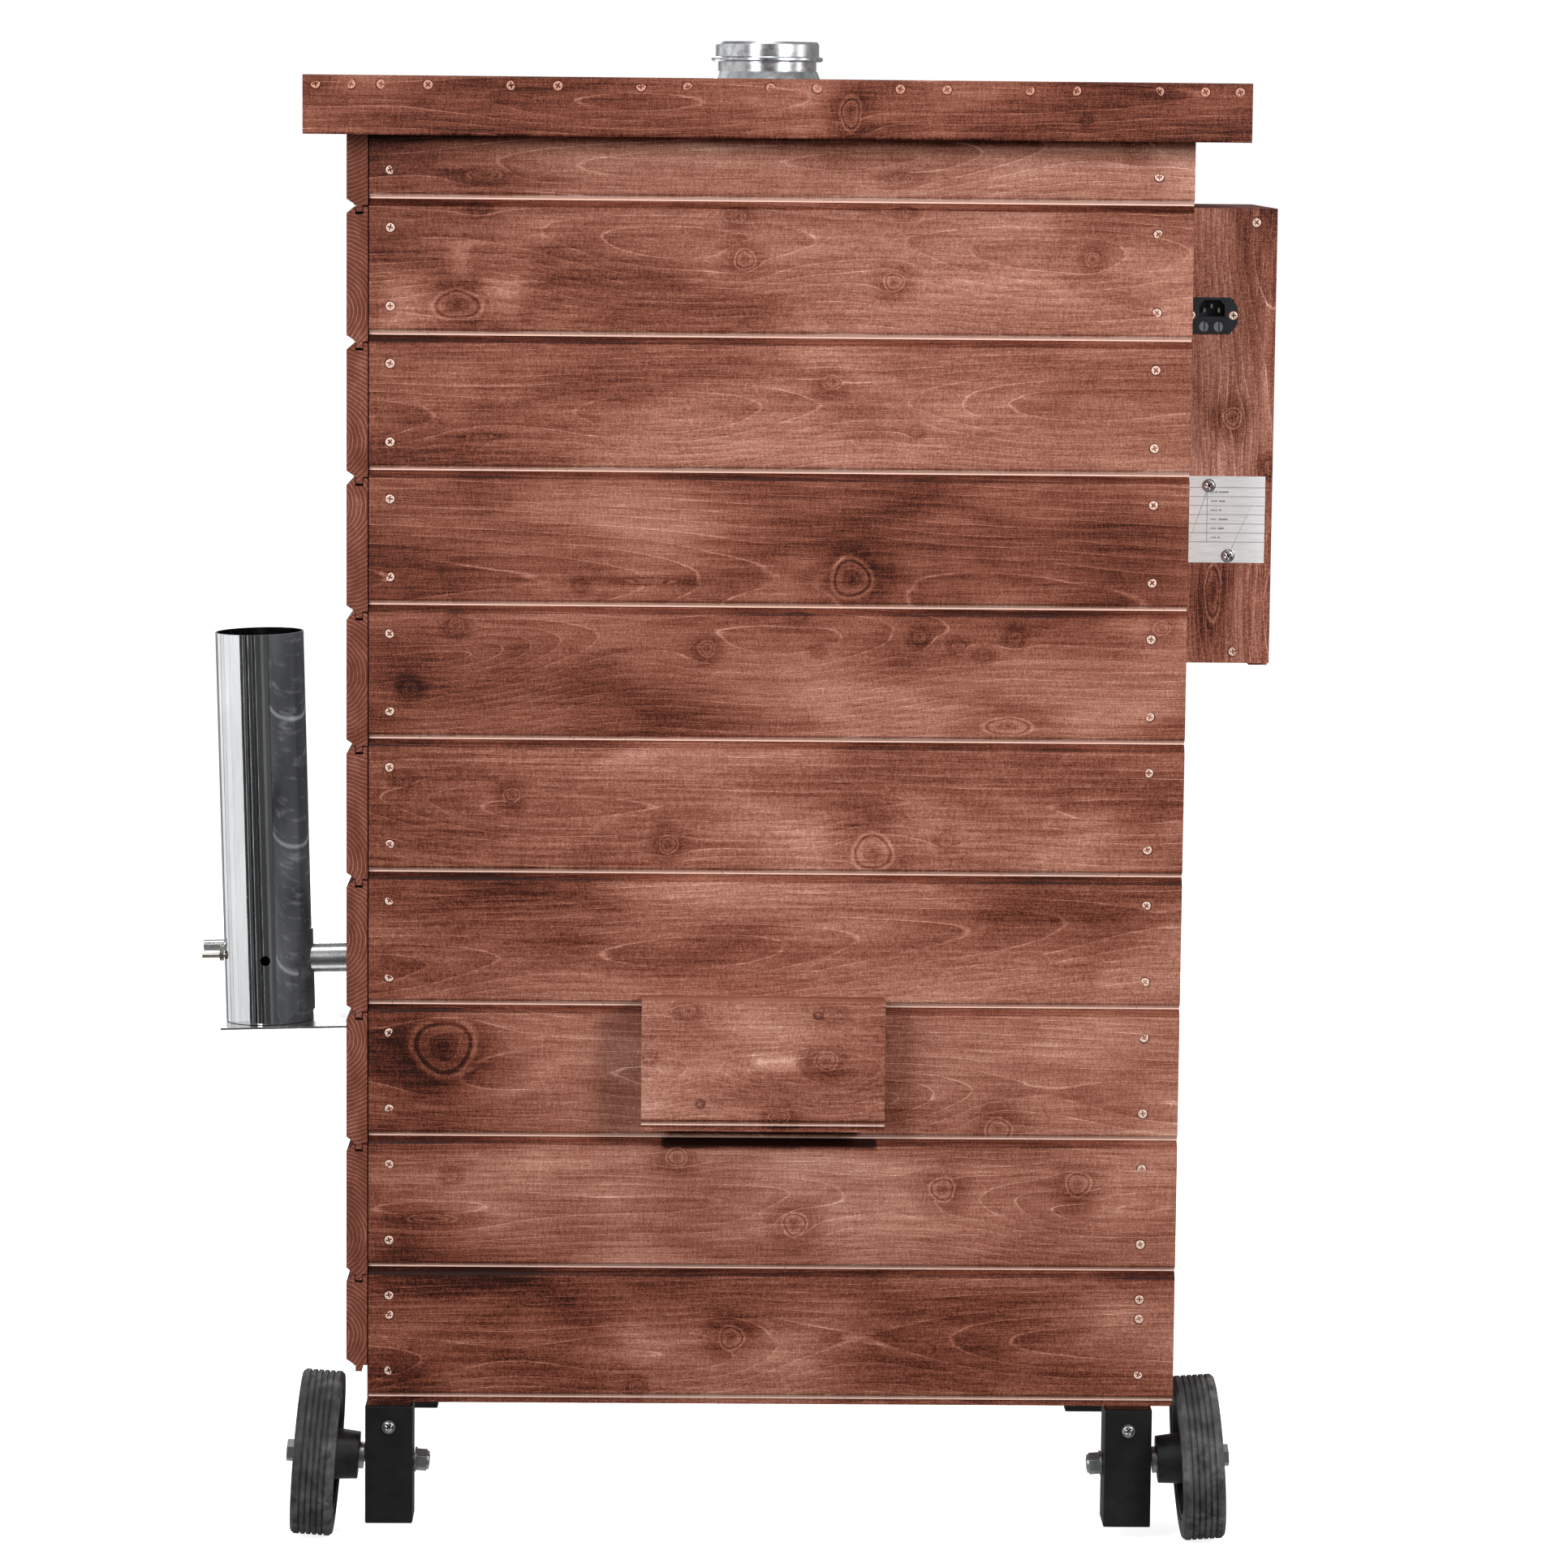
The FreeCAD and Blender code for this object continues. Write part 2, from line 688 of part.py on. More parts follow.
def grid_rack(name, level):
    """A flat grid of bars that rests on a pair of rails."""
    bar = d.wire_radius * 2
    low_x = inside_right + 3.0
    high_x = inside_left - 3.0
    low_y = fitting_front + 5.0
    high_y = fitting_rear - 5.0
    base = level + rail_thick
    plate = span_box(name + "_plate", (low_x, low_y, base), (high_x, high_y, base + bar))
    count = 12
    pitch = (high_x - low_x - bar) / count
    gaps = []
    for index in range(count):
        start = low_x + bar + pitch * index
        gaps.append(span_box(f"{name}_gap_{index}", (start, low_y + bar, base - 1.0),
                             (start + pitch - bar, high_y - bar, base + bar + 1.0)))
    return cut(name, plate, group(name + "_gaps", gaps))


node("smoking_racks", group("smoking_racks", [grid_rack(f"rack_{number}", level)
                                              for number, level in enumerate(rack_levels)]))
rod_radius = 5.0
rods = []
for index in range(4):
    place_y = fitting_front + fitting_deep * ((index + 0.6) / 4.2)
    rods.append(rod(f"hanging_rod_{index}",
                    (inside_right + 2.0, place_y, d.rod_level + rail_thick + rod_radius),
                    rod_radius, inside_left - inside_right - 4.0, "x"))
node("hanging_rods", group("hanging_rods", rods))

tray_edge = 3.0
tray_low = (inside_right + tray_edge, fitting_front + 10.0, tray_level + rail_thick)
tray_high = (inside_left - tray_edge, fitting_rear - 10.0, tray_level + rail_thick + 30.0)
tray_wall = 1.5
tray = cut("drip_tray", span_box("tray_outer", tray_low, tray_high),
           span_box("tray_inner", [value + tray_wall for value in tray_low],
                    (tray_high[0] - tray_wall, tray_high[1] - tray_wall,
                     tray_high[2] + tray_wall)))
node("drip_tray", tray)

heater_bend = 130.0
heater_bend_y = frame_back + 210.0
heater_parts = []
for name, side in (("heater_leg_left", 1), ("heater_leg_right", -1)):
    heater_parts.append(rod(name, (d.centre_x + side * heater_bend, heater_bend_y,
                                   d.heater_level), d.heater_radius,
                            inside_rear - heater_bend_y - 3.0, "y"))
torus = doc.addObject("Part::Torus", "heater_bend")
bind(torus, "Radius1", heater_bend)
bind(torus, "Radius2", d.heater_radius)
torus.Angle3 = 180.0
heater_parts.append(place(torus, d.centre_x, heater_bend_y, d.heater_level, Z_AXIS, 180.0))
heater_plate = span_box("heater_plate", (d.centre_x - 160.0, inside_rear - 3.0,
                                         d.heater_level - 25.0),
                        (d.centre_x + 160.0, inside_rear, d.heater_level + 25.0))
node("heating_element", fuse("heating_element", heater_parts))
node("heater_terminal_plate", heater_plate)
node("temperature_probe", rod("temperature_probe", (inside_right, gen_y, 1040.0), 3.0,
                              70.0, "x"))


# ---- smoke generator -----------------------------------------------------------------------

tilt_cos = math.cos(math.radians(GENERATOR_TILT))
tilt_sin = math.sin(math.radians(GENERATOR_TILT))


def in_generator(thing, out, across, up, turn=Rotation()):
    """Place a piece in the generator's leaning frame, which starts where its pipe meets
    the wall: out along the pipe, across along +Y, up beside the tube."""
    base_x = left_x + out * tilt_cos + up * tilt_sin
    base_z = d.gen_pipe_z - out * tilt_sin + up * tilt_cos
    place(thing, base_x, gen_y + across, base_z)
    lean = Rotation(Y_AXIS, GENERATOR_TILT)
    thing.Placement = Placement(thing.Placement.Base, lean.multiply(turn))
    return thing


def gen_rod(name, out, across, up, radius, long, along):
    thing = doc.addObject("Part::Cylinder", name)
    bind(thing, "Radius", radius)
    bind(thing, "Height", long)
    axis, angle = TURN[along]
    return in_generator(thing, out, across, up, Rotation(axis, angle))


gen_floor = -d.gen_below
gen_bore = d.gen_radius - d.gen_wall
nozzle_across = 9.0
nozzle_radius = 2.5
stub_radius = 6.0
stub_up = 13.0
air_hole_up = 3.5
nozzle_up = 5.0
tube_body = turned("generator_tube_body", [
    (0.0, 0.0), (d.gen_radius, 0.0), (d.gen_radius, d.gen_tall), (gen_bore, d.gen_tall),
    (gen_bore, d.gen_wall), (0.0, d.gen_wall)])
in_generator(tube_body, d.gen_reach, 0.0, gen_floor)
tube_holes = group("tube_holes", [
    gen_rod("pipe_bore", d.gen_reach - d.gen_radius - 5.0, 0.0, 0.0,
            d.smoke_pipe_radius - d.gen_wall, 25.0, "x"),
    gen_rod("air_hole", d.gen_reach, 30.0, air_hole_up, 5.0, 30.0, "y"),
    gen_rod("nozzle_hole", d.gen_reach + 25.0, nozzle_across, nozzle_up, nozzle_radius + 0.1, 30.0,
            "x"),
    gen_rod("stub_hole", d.gen_reach + 25.0, -nozzle_across, stub_up, stub_radius - 1.2, 30.0,
            "x"),
])
node("generator_tube", cut("generator_tube", tube_body, tube_holes))

tube_solid = gen_rod("tube_outside", d.gen_reach, 0.0, gen_floor, d.gen_radius, d.gen_tall, "z")
pipe_start = -(d.board_thick + d.post_side + d.sheet_thick + 12.0)
pipe_outer = gen_rod("smoke_pipe_outer", pipe_start, 0.0, 0.0, d.smoke_pipe_radius,
                     d.gen_reach - 20.0 - pipe_start, "x")
pipe_inner = gen_rod("smoke_pipe_inner", pipe_start - 2.0, 0.0, 0.0,
                     d.smoke_pipe_radius - d.gen_wall, d.gen_reach - pipe_start, "x")
saddle_thick = 1.5
saddle_low = -51.0
saddle_high = 30.0
saddle_edge = 33.6
saddle_shell = gen_rod("saddle_shell", d.gen_reach, 0.0, saddle_low,
                       d.gen_radius + saddle_thick, saddle_high - saddle_low, "z")
saddle_limit = box("saddle_limit", (0.0, 0.0, 0.0),
                   (100.0, 110.0, saddle_high - saddle_low + 2.0))
in_generator(saddle_limit, d.gen_reach - saddle_edge, -55.0, saddle_low - 1.0)
pipe_and_saddle = fuse("pipe_and_saddle",
                       [pipe_outer, cut("saddle_plate", saddle_shell, saddle_limit)])
pipe_ring = cut("smoke_pipe_ring", pipe_and_saddle, pipe_inner)
node("smoke_pipe", cut("smoke_pipe", pipe_ring, tube_solid))

stub_ring = cut("stub_ring",
                gen_rod("stub_outer", d.gen_reach + 30.0, -nozzle_across, stub_up, stub_radius,
                        d.gen_radius - 9.0, "x"),
                gen_rod("stub_inner", d.gen_reach + 29.0, -nozzle_across, stub_up,
                        stub_radius - 1.2, d.gen_radius, "x"))
node("ignition_stub", cut("ignition_stub", stub_ring, tube_solid))

nozzle_root = d.gen_reach + d.gen_radius - 3.5
nozzle_long = 25.5
nozzle_stem = turned("nozzle_stem", [
    (0.0, 0.0), (nozzle_radius, 0.0), (nozzle_radius, nozzle_long - 1.0),
    (nozzle_radius - 0.5, nozzle_long), (0.0, nozzle_long)])
in_generator(nozzle_stem, nozzle_root, nozzle_across, nozzle_up, Rotation(Y_AXIS, 90.0))
nut = doc.addObject("Part::Prism", "nozzle_nut")
nut.Polygon = 6
bind(nut, "Circumradius", 5.6)
bind(nut, "Height", 4.0)
in_generator(nut, d.gen_reach + d.gen_radius + 0.1, nozzle_across, nozzle_up,
             Rotation(Y_AXIS, 90.0))
nozzle_bore = gen_rod("nozzle_bore", nozzle_root - 1.0, nozzle_across, nozzle_up, 1.5,
                      nozzle_long + 2.0, "x")
node("air_nozzle", cut("air_nozzle", fuse("nozzle_solid", [nozzle_stem, nut]), nozzle_bore))

grate_disc = gen_rod("grate_disc", d.gen_reach, 0.0, gen_floor + 32.0, gen_bore - 0.2, 1.5, "z")
grate_holes = [gen_rod("grate_hole_middle", d.gen_reach, 0.0, gen_floor + 30.0, 4.0, 6.0, "z")]
for index in range(6):
    angle = math.radians(60.0 * index)
    grate_holes.append(gen_rod(f"grate_hole_{index}", d.gen_reach + 22.0 * math.cos(angle),
                               22.0 * math.sin(angle), gen_floor + 30.0, 4.0, 6.0, "z"))
node("ember_grate", cut("ember_grate", grate_disc, group("grate_hole_set", grate_holes)))

shelf_gap = 0.5
slope = math.tan(math.radians(GENERATOR_TILT))
shelf_at_wall = d.gen_pipe_z - d.gen_below - shelf_gap
shelf_end = shelf_at_wall - d.shelf_long * slope
bracket = pushed("bracket_profile", "XZ_Plane", [
    (left_x, shelf_at_wall - d.bracket_thick), (left_x + d.shelf_long,
                                                shelf_end - d.bracket_thick),
    (left_x + d.shelf_long, shelf_end),
    (left_x + d.bracket_thick, shelf_at_wall - d.bracket_thick * slope),
    (left_x + d.bracket_thick, shelf_at_wall + d.bracket_tall),
    (left_x, shelf_at_wall + d.bracket_tall)], d.shelf_wide)
place(bracket, 0.0, gen_y - d.shelf_wide / 2, 0.0)
bracket_hole = rod("bracket_hole", (left_x - 10.0, gen_y, d.gen_pipe_z),
                   d.smoke_pipe_radius + 3.0, 30.0, "x")
node("generator_bracket", cut("generator_bracket", bracket, bracket_hole))


# ---- control box ---------------------------------------------------------------------------

box_outer_x = right_x - d.box_reach
box_front_y = box_rear_y - d.box_deep
box_top = d.box_base + d.box_tall
inlet_x = right_x - 28.0
inlet_z = box_top - 103.0
fuse_radius = 5.0
fuse_down = 10.5
fuse_apart = 7.0
flange_thick = 2.5
body_half_x = 17.5
body_half_z = 17.0

inlet_opening = span_box("inlet_opening",
                         (inlet_x - body_half_x, box_rear_y - 30.0, inlet_z - body_half_z),
                         (inlet_x + body_half_x, box_rear_y + 5.0, inlet_z + body_half_z))
box_screws = []
for number, (out, height) in enumerate(((69.5, box_top - 13.5), (54.5, d.box_base + 11.0))):
    box_screws += countersunk(f"box_screw_{number}", (right_x - out, box_rear_y, height),
                              "y", -1)
box_screw_group = fuse("box_screws", box_screws)
rear_panel = span_box("box_rear_panel",
                      (box_outer_x, box_rear_y - d.box_board, d.box_base),
                      (right_x, box_rear_y, box_top))
rear_panel = cut("box_rear_open", rear_panel, inlet_opening)
cover_inner_x = box_outer_x + d.box_board
box_cover = pushed("control_box_cover", "XY_Plane", [
    (box_outer_x, box_front_y + d.box_board), (cover_inner_x, box_front_y + d.box_board),
    (cover_inner_x, box_rear_y - d.box_board), (box_outer_x, box_rear_y - d.box_board)],
    d.box_tall + d.cover_drop)
place(box_cover, 0.0, 0.0, d.box_base - d.cover_drop)
node("control_box_cover", box_cover)
box_ends = []
for name, low_z in (("box_floor", d.box_base), ("box_lid", box_top - d.box_board)):
    box_ends.append(span_box(name, (box_outer_x + d.box_board, box_front_y + d.box_board, low_z),
                             (right_x, box_rear_y - d.box_board, low_z + d.box_board)))
node("control_box_ends", group("control_box_ends", box_ends))

# mains inlet: flange, body, socket hollow and two fuse bores
flange = pushed("inlet_flange", "XZ_Plane", [
    (-25.0, -8.0), (-25.0, 8.0), (-body_half_x, body_half_z + 0.5),
    (body_half_x, body_half_z + 0.5), (25.0, 8.0), (25.0, -8.0),
    (body_half_x, -body_half_z - 0.5), (-body_half_x, -body_half_z - 0.5)], flange_thick)
place(flange, inlet_x, box_rear_y, inlet_z)
inlet_body = span_box("inlet_body",
                      (inlet_x - body_half_x, box_rear_y - 24.0, inlet_z - body_half_z),
                      (inlet_x + body_half_x, box_rear_y, inlet_z + body_half_z))
socket_half = 12.25
socket_depth = 16.0
socket = pushed("inlet_socket", "XZ_Plane", [
    (-socket_half, -8.0), (socket_half, -8.0), (socket_half, 3.0), (socket_half - 5.0, 8.0),
    (-socket_half + 5.0, 8.0), (-socket_half, 3.0)], socket_depth + flange_thick + 1.0)
socket_z = inlet_z + 7.0
place(socket, inlet_x, box_rear_y - socket_depth, socket_z)
fuse_z = inlet_z - fuse_down
fuse_depth = 9.0
fuse_bores = [rod(f"fuse_bore_{number}",
                  (inlet_x + side * fuse_apart, box_rear_y - fuse_depth, fuse_z),
                  fuse_radius + 0.08, 20.0, "y")
              for number, side in enumerate((1, -1))]
inlet_screws = []
for number, side in enumerate((1, -1)):
    inlet_screws += countersunk(f"inlet_screw_{number}",
                                (inlet_x + side * 20.5, box_rear_y + flange_thick, inlet_z),
                                "y", -1)
inlet_screw_group = fuse("inlet_screws", inlet_screws)
inlet = fuse("inlet_moulding", [flange, inlet_body])
inlet = cut("inlet_hollowed", inlet, group("inlet_hollows", [socket] + fuse_bores))
node("power_inlet", cut("power_inlet", inlet, inlet_screw_group))
pins = []
for number, (across, up) in enumerate(((7.0, -2.0), (-7.0, -2.0), (0.0, 2.0))):
    pins.append(span_box(f"inlet_pin_{number}",
                         (inlet_x + across - 1.0, box_rear_y - socket_depth,
                          socket_z + up - 2.0),
                         (inlet_x + across + 1.0, box_rear_y - 2.0, socket_z + up + 2.0)))
node("inlet_pins", group("inlet_pins", pins))


def fuse_cap(name, side):
    """A slotted screw cap that closes one fuse holder."""
    cap_long = 9.6
    start_y = box_rear_y - fuse_depth + 0.4
    centre = inlet_x + side * fuse_apart
    cap_rod = rod(name + "_rod", (centre, start_y, fuse_z), fuse_radius, cap_long, "y")
    slot = span_box(name + "_slot", (centre - 0.7, start_y + cap_long - 1.5,
                                     fuse_z - fuse_radius),
                    (centre + 0.7, start_y + cap_long + 1.0, fuse_z + fuse_radius))
    return cut(name, cap_rod, slot)


node("fuse_cap_left", fuse_cap("fuse_cap_left", 1))
node("fuse_cap_right", fuse_cap("fuse_cap_right", -1))

plate_thick = 0.8
plate_top = box_top - 258.0
plate_tall = 84.0
plate_screws = []
for number, (out, down) in enumerate(((28.4, 9.0), (48.0, 77.0))):
    screw_at = (right_x - out, box_rear_y + plate_thick, plate_top - down)
    head = turned(f"plate_screw_{number}", [(0.0, -10.0), (1.6, -10.0), (1.6, 0.0), (5.2, 0.0),
                                            (5.2, 0.7), (3.2, 1.2), (2.2, 2.2), (0.0, 2.4)])
    place(head, *screw_at)
    head.Placement = Placement(head.Placement.Base, Rotation(X_AXIS, -90.0))
    plate_screws.append(head)
plate_screw_group = group("plate_screws", plate_screws)
plate = span_box("rating_plate_sheet", (right_x - 83.0, box_rear_y, plate_top - plate_tall),
                 (right_x - 3.0, box_rear_y + plate_thick, plate_top))
node("rating_plate", cut("rating_plate", plate, plate_screw_group))
rear_fixings = fuse("box_rear_fixings", [box_screw_group, inlet_screw_group] + plate_screws)
node("control_box_rear_board", cut("control_box_rear_board", rear_panel, rear_fixings))

# front of the control box: dial thermostat and rocker switch
panel_mid = right_x - d.box_reach / 2
dial_z = box_top - 110.0
switch_z = box_top - 210.0
knob_bore = 4.0
panel_face = box_front_y - 3.0
front_panel = span_box("box_front_panel", (box_outer_x, box_front_y, d.box_base),
                       (right_x, box_front_y + d.box_board, box_top))
switch_opening = span_box("switch_opening",
                          (panel_mid - 11.0, box_front_y - 10.0, switch_z - 16.0),
                          (panel_mid + 11.0, box_front_y + 30.0, switch_z + 16.0))
spindle_hole = rod("spindle_hole", (panel_mid, box_front_y - 10.0, dial_z), knob_bore + 0.06,
                   40.0, "y")
node("control_box_front_panel", cut("control_box_front_panel", front_panel,
                                    group("front_panel_holes", [switch_opening,
                                                                spindle_hole])))
bezel = cut("switch_bezel",
            span_box("bezel_block", (panel_mid - 14.0, panel_face, switch_z - 19.0),
                     (panel_mid + 14.0, box_front_y, switch_z + 19.0)),
            span_box("bezel_opening", (panel_mid - 10.0, panel_face - 1.0, switch_z - 15.0),
                     (panel_mid + 10.0, box_front_y + 1.0, switch_z + 15.0)))
dial_plate = cut("dial_plate_holed",
                 span_box("dial_plate", (panel_mid - 36.0, panel_face, dial_z - 36.0),
                          (panel_mid + 36.0, box_front_y, dial_z + 36.0)), spindle_hole)
node("temperature_controller", group("temperature_controller", [dial_plate, bezel]))
knob = turned("knob_shape", [(0.0, -14.0), (knob_bore, -14.0), (knob_bore, 0.4), (19.0, 0.4),
                             (19.0, 4.0), (16.5, 5.0), (15.5, 17.0), (14.0, 18.5),
                             (0.0, 18.5)])
place(knob, panel_mid, panel_face, dial_z)
knob.Placement = Placement(knob.Placement.Base, Rotation(X_AXIS, 90.0))
pointer = span_box("knob_pointer", (panel_mid - 1.2, panel_face - 19.5, dial_z + 3.0),
                   (panel_mid + 1.2, panel_face - 10.0, dial_z + 14.0))
node("thermostat_knob", fuse("thermostat_knob", [knob, pointer]))
rocker = pushed("power_switch", "YZ_Plane", [
    (12.0, -8.0), (12.0, 8.0), (-1.0, 12.5), (-3.5, 13.0), (-1.5, 0.0), (-3.5, -13.0),
    (-1.0, -12.5)], 17.0)
node("power_switch", place(rocker, panel_mid - 8.5, panel_face, switch_z))


# ---- wheels --------------------------------------------------------------------------------

def on_axle(thing, side, out):
    """Place a turned piece on the cambered axle, out from the wheel's middle."""
    wheel_x, tilt, sign = wheel_place(side)
    slope_angle = math.radians(CAMBER)
    return along_x(thing, wheel_x + sign * out * math.cos(slope_angle),
                   d.rear_y - d.axle_inset, d.wheel_rise + out * math.sin(slope_angle),
                   sign, tilt)


half_tread = d.wheel_wide / 2
hub_start = -40.0
hub_end = 20.0


def tyre(name, side):
    """A solid rubber tyre with ribs round its tread and eased shoulders."""
    grooves = 5
    groove_wide = 2.4
    groove_deep = 1.6
    shoulder = 3.0
    points = [(d.rim_radius, -half_tread), (d.wheel_radius - 2.5, -half_tread),
              (d.wheel_radius, -half_tread + shoulder)]
    step = (number_of(d.wheel_wide) - 2 * shoulder) / (grooves + 1)
    for index in range(grooves):
        middle = -half_tread + shoulder + step * (index + 1)
        points += [(d.wheel_radius, middle - groove_wide / 2),
                   (d.wheel_radius - groove_deep, middle - groove_wide / 4),
                   (d.wheel_radius - groove_deep, middle + groove_wide / 4),
                   (d.wheel_radius, middle + groove_wide / 2)]
    points += [(d.wheel_radius, half_tread - shoulder), (d.wheel_radius - 2.5, half_tread),
               (d.rim_radius, half_tread)]
    return on_axle(turned(name, points), side, 0.0)


def rim(name, side):
    """A moulded wheel centre: hub, dished web and rim flange."""
    web = 5.0
    flange_in = d.rim_radius - 6.0
    return on_axle(turned(name, [
        (d.axle_radius + 0.06, hub_start), (d.hub_radius - 2.0, hub_start),
        (d.hub_radius, -16.0), (d.hub_radius + 3.0, -web), (flange_in - 3.0, -web),
        (flange_in, 1.0 - half_tread), (d.rim_radius, 1.0 - half_tread),
        (d.rim_radius, half_tread - 1.0), (flange_in, half_tread - 1.0),
        (flange_in - 3.0, web), (d.hub_radius + 3.0, web), (d.hub_radius, hub_end),
        (d.axle_radius + 0.06, hub_end)]), side, 0.0)


bolts = []
nuts = []
washers = []
inner_face = -(d.wheel_wide / 2 + d.wheel_gap + d.post_side + d.sleeve_wall * 2)
for side in ("left", "right"):
    node(f"wheel_tyre_{side}", tyre(f"wheel_tyre_{side}", side))
    node(f"wheel_rim_{side}", rim(f"wheel_rim_{side}", side))
    shank = turned(f"bolt_shank_{side}", [(0.0, inner_face - 16.0),
                                          (d.axle_radius, inner_face - 16.0),
                                          (d.axle_radius, hub_end + 2.5),
                                          (0.0, hub_end + 2.5)])
    on_axle(shank, side, 0.0)
    head = doc.addObject("Part::Prism", f"bolt_head_{side}")
    head.Polygon = 6
    bind(head, "Circumradius", 11.0)
    bind(head, "Height", 7.5)
    on_axle(head, side, hub_end + 2.5)
    bolts.append(fuse(f"axle_bolt_{side}", [shank, head]))
    lock = doc.addObject("Part::Prism", f"nut_block_{side}")
    lock.Polygon = 6
    bind(lock, "Circumradius", 11.0)
    bind(lock, "Height", 10.0)
    on_axle(lock, side, inner_face - 13.5)
    crown = turned(f"nut_crown_{side}", [(0.0, -2.0), (8.8, -2.0), (9.2, 0.5), (0.0, 0.5)])
    on_axle(crown, side, inner_face - 13.5)
    nut_bore = doc.addObject("Part::Cylinder", f"nut_bore_{side}")
    bind(nut_bore, "Radius", d.axle_radius + 0.05)
    bind(nut_bore, "Height", 60.0)
    on_axle(nut_bore, side, inner_face - 40.0)
    nuts.append(cut(f"axle_nut_{side}", fuse(f"nut_solid_{side}", [lock, crown]), nut_bore))
    for number, (start, thick, radius) in enumerate(((hub_start - 5.0, 4.6, 13.0),
                                                     (hub_end + 0.4, 2.0, 12.0),
                                                     (inner_face - 3.3, 2.0, 12.0))):
        bore = d.axle_radius + 0.3
        ring = turned(f"washer_{side}_{number}", [(bore, 0.0), (radius, 0.0),
                                                  (radius, thick), (bore, thick)])
        washers.append(on_axle(ring, side, start))
node("axle_bolts", group("axle_bolts", bolts))
node("axle_nuts", group("axle_nuts", nuts))
node("axle_washers", group("axle_washers", washers))


# ---- vent cover ----------------------------------------------------------------------------

cover_low_x = d.centre_x - d.cover_wide / 2
cover_face = d.rear_y + d.cover_stand + d.board_thick
batten_tall = 20.0
cover = place(board("vent_cover_plank", d.cover_tall, d.cover_wide, True, False),
              cover_low_x + d.cover_wide, cover_face, d.cover_base, Z_AXIS, 180.0)
cover_screws = []
for number, (out, up) in enumerate(((52.0, d.cover_tall - 12.0), (-60.0, 22.0))):
    cover_screws += countersunk(f"cover_screw_{number}",
                                (d.centre_x - out, cover_face, d.cover_base + up), "y", -1)
cover_screw_group = fuse("cover_screws", cover_screws)
node("vent_cover_board", cut("vent_cover_board", cover, cover_screw_group))
battens = []
for name, low_z in (("batten_low", d.cover_base + 10.0),
                    ("batten_high", d.cover_base + d.cover_tall - batten_tall - 2.0)):
    inset = 18.0 if name == "batten_low" else 0.0
    battens.append(span_box(name, (cover_low_x + inset, d.rear_y, low_z),
                            (cover_low_x + d.cover_wide - inset, d.rear_y + d.cover_stand,
                             low_z + batten_tall)))
node("vent_cover_battens", group("vent_cover_battens", battens))
leg_screws = []
for number, spot in enumerate(("rear_left", "rear_right")):
    low_x, low_y = post_spots[spot]
    head = turned(f"leg_screw_{number}", [(0.0, 0.0), (5.5, 0.0), (5.2, 1.6), (3.0, 2.8),
                                          (0.0, 3.0)])
    place(head, low_x + d.post_side / 2, low_y + d.post_side + d.sleeve_wall, 112.0)
    head.Placement = Placement(head.Placement.Base, Rotation(X_AXIS, -90.0))
    leg_screws.append(head)
node("trim_screws", group("trim_screws", [box_screw_group, inlet_screw_group,
                                          cover_screw_group] + plate_screws + leg_screws))


# ---- door, hinges and latch ----------------------------------------------------------------

dial_spot = (d.centre_x, front_y, 1010.0)
stem_radius = 3.0
stem_hole = rod("thermometer_hole", (dial_spot[0], front_y - 10.0, dial_spot[2]),
                stem_radius + 0.3, 70.0, "y")
latch_x = right_x + 70.0
latch_z = 740.0
latch_pin = 5.0
latch_bore = rod("latch_bore", (latch_x, front_y - 10.0, latch_z), latch_pin + 0.06, 24.0, "y")
door_first = d.wall_base + d.board_pitch - door_base
door_wall = wall("door", door_base, door_first, door_top, door_left - door_right,
                 (door_right, front_y), 0.0)
node("door_boards", cut("door_boards_bored", door_wall,
                        group("door_holes", [stem_hole, latch_bore])))

plug_gap = 14.0
plug_low = (opening_right + plug_gap, front_y + d.board_thick, opening_base + plug_gap)
plug_high = (opening_left - plug_gap, front_y + d.board_thick + 18.0, opening_top - plug_gap)
batten_wide = 60.0
door_battens = []
for name, low_x in (("door_batten_right", plug_low[0]),
                    ("door_batten_left", plug_high[0] - batten_wide)):
    door_battens.append(span_box(name, (low_x, plug_low[1], plug_low[2]),
                                 (low_x + batten_wide, plug_high[1], plug_high[2])))
for name, low_z in (("door_batten_low", plug_low[2]),
                    ("door_batten_middle", d.gen_pipe_z + 200.0),
                    ("door_batten_high", plug_high[2] - batten_wide)):
    door_battens.append(span_box(name, (plug_low[0] + batten_wide, plug_low[1], low_z),
                                 (plug_high[0] - batten_wide, plug_high[1],
                                  low_z + batten_wide)))
node("door_battens", group("door_battens", door_battens))
inner_sheet = span_box("inner_sheet", (plug_low[0], plug_high[1], plug_low[2]),
                       (plug_high[0], plug_high[1] + d.sheet_thick, plug_high[2]))
node("door_inner_sheet", cut("door_inner_sheet", inner_sheet, stem_hole))
seal_thick = 6.4
seal_wide = 12.0
seal_in = 6.0
seal_y = front_y + d.board_thick
seal_outer = span_box("seal_outer",
                      (opening_right - seal_in - seal_wide, seal_y,
                       opening_base - seal_in - seal_wide),
                      (opening_left + seal_in + seal_wide, seal_y + seal_thick,
                       opening_top + seal_in + seal_wide))
seal_inner = span_box("seal_inner",
                      (opening_right - seal_in, seal_y - 1.0, opening_base - seal_in),
                      (opening_left + seal_in, seal_y + seal_thick + 1.0,
                       opening_top + seal_in))
node("door_seal", cut("door_seal", seal_outer, seal_inner))

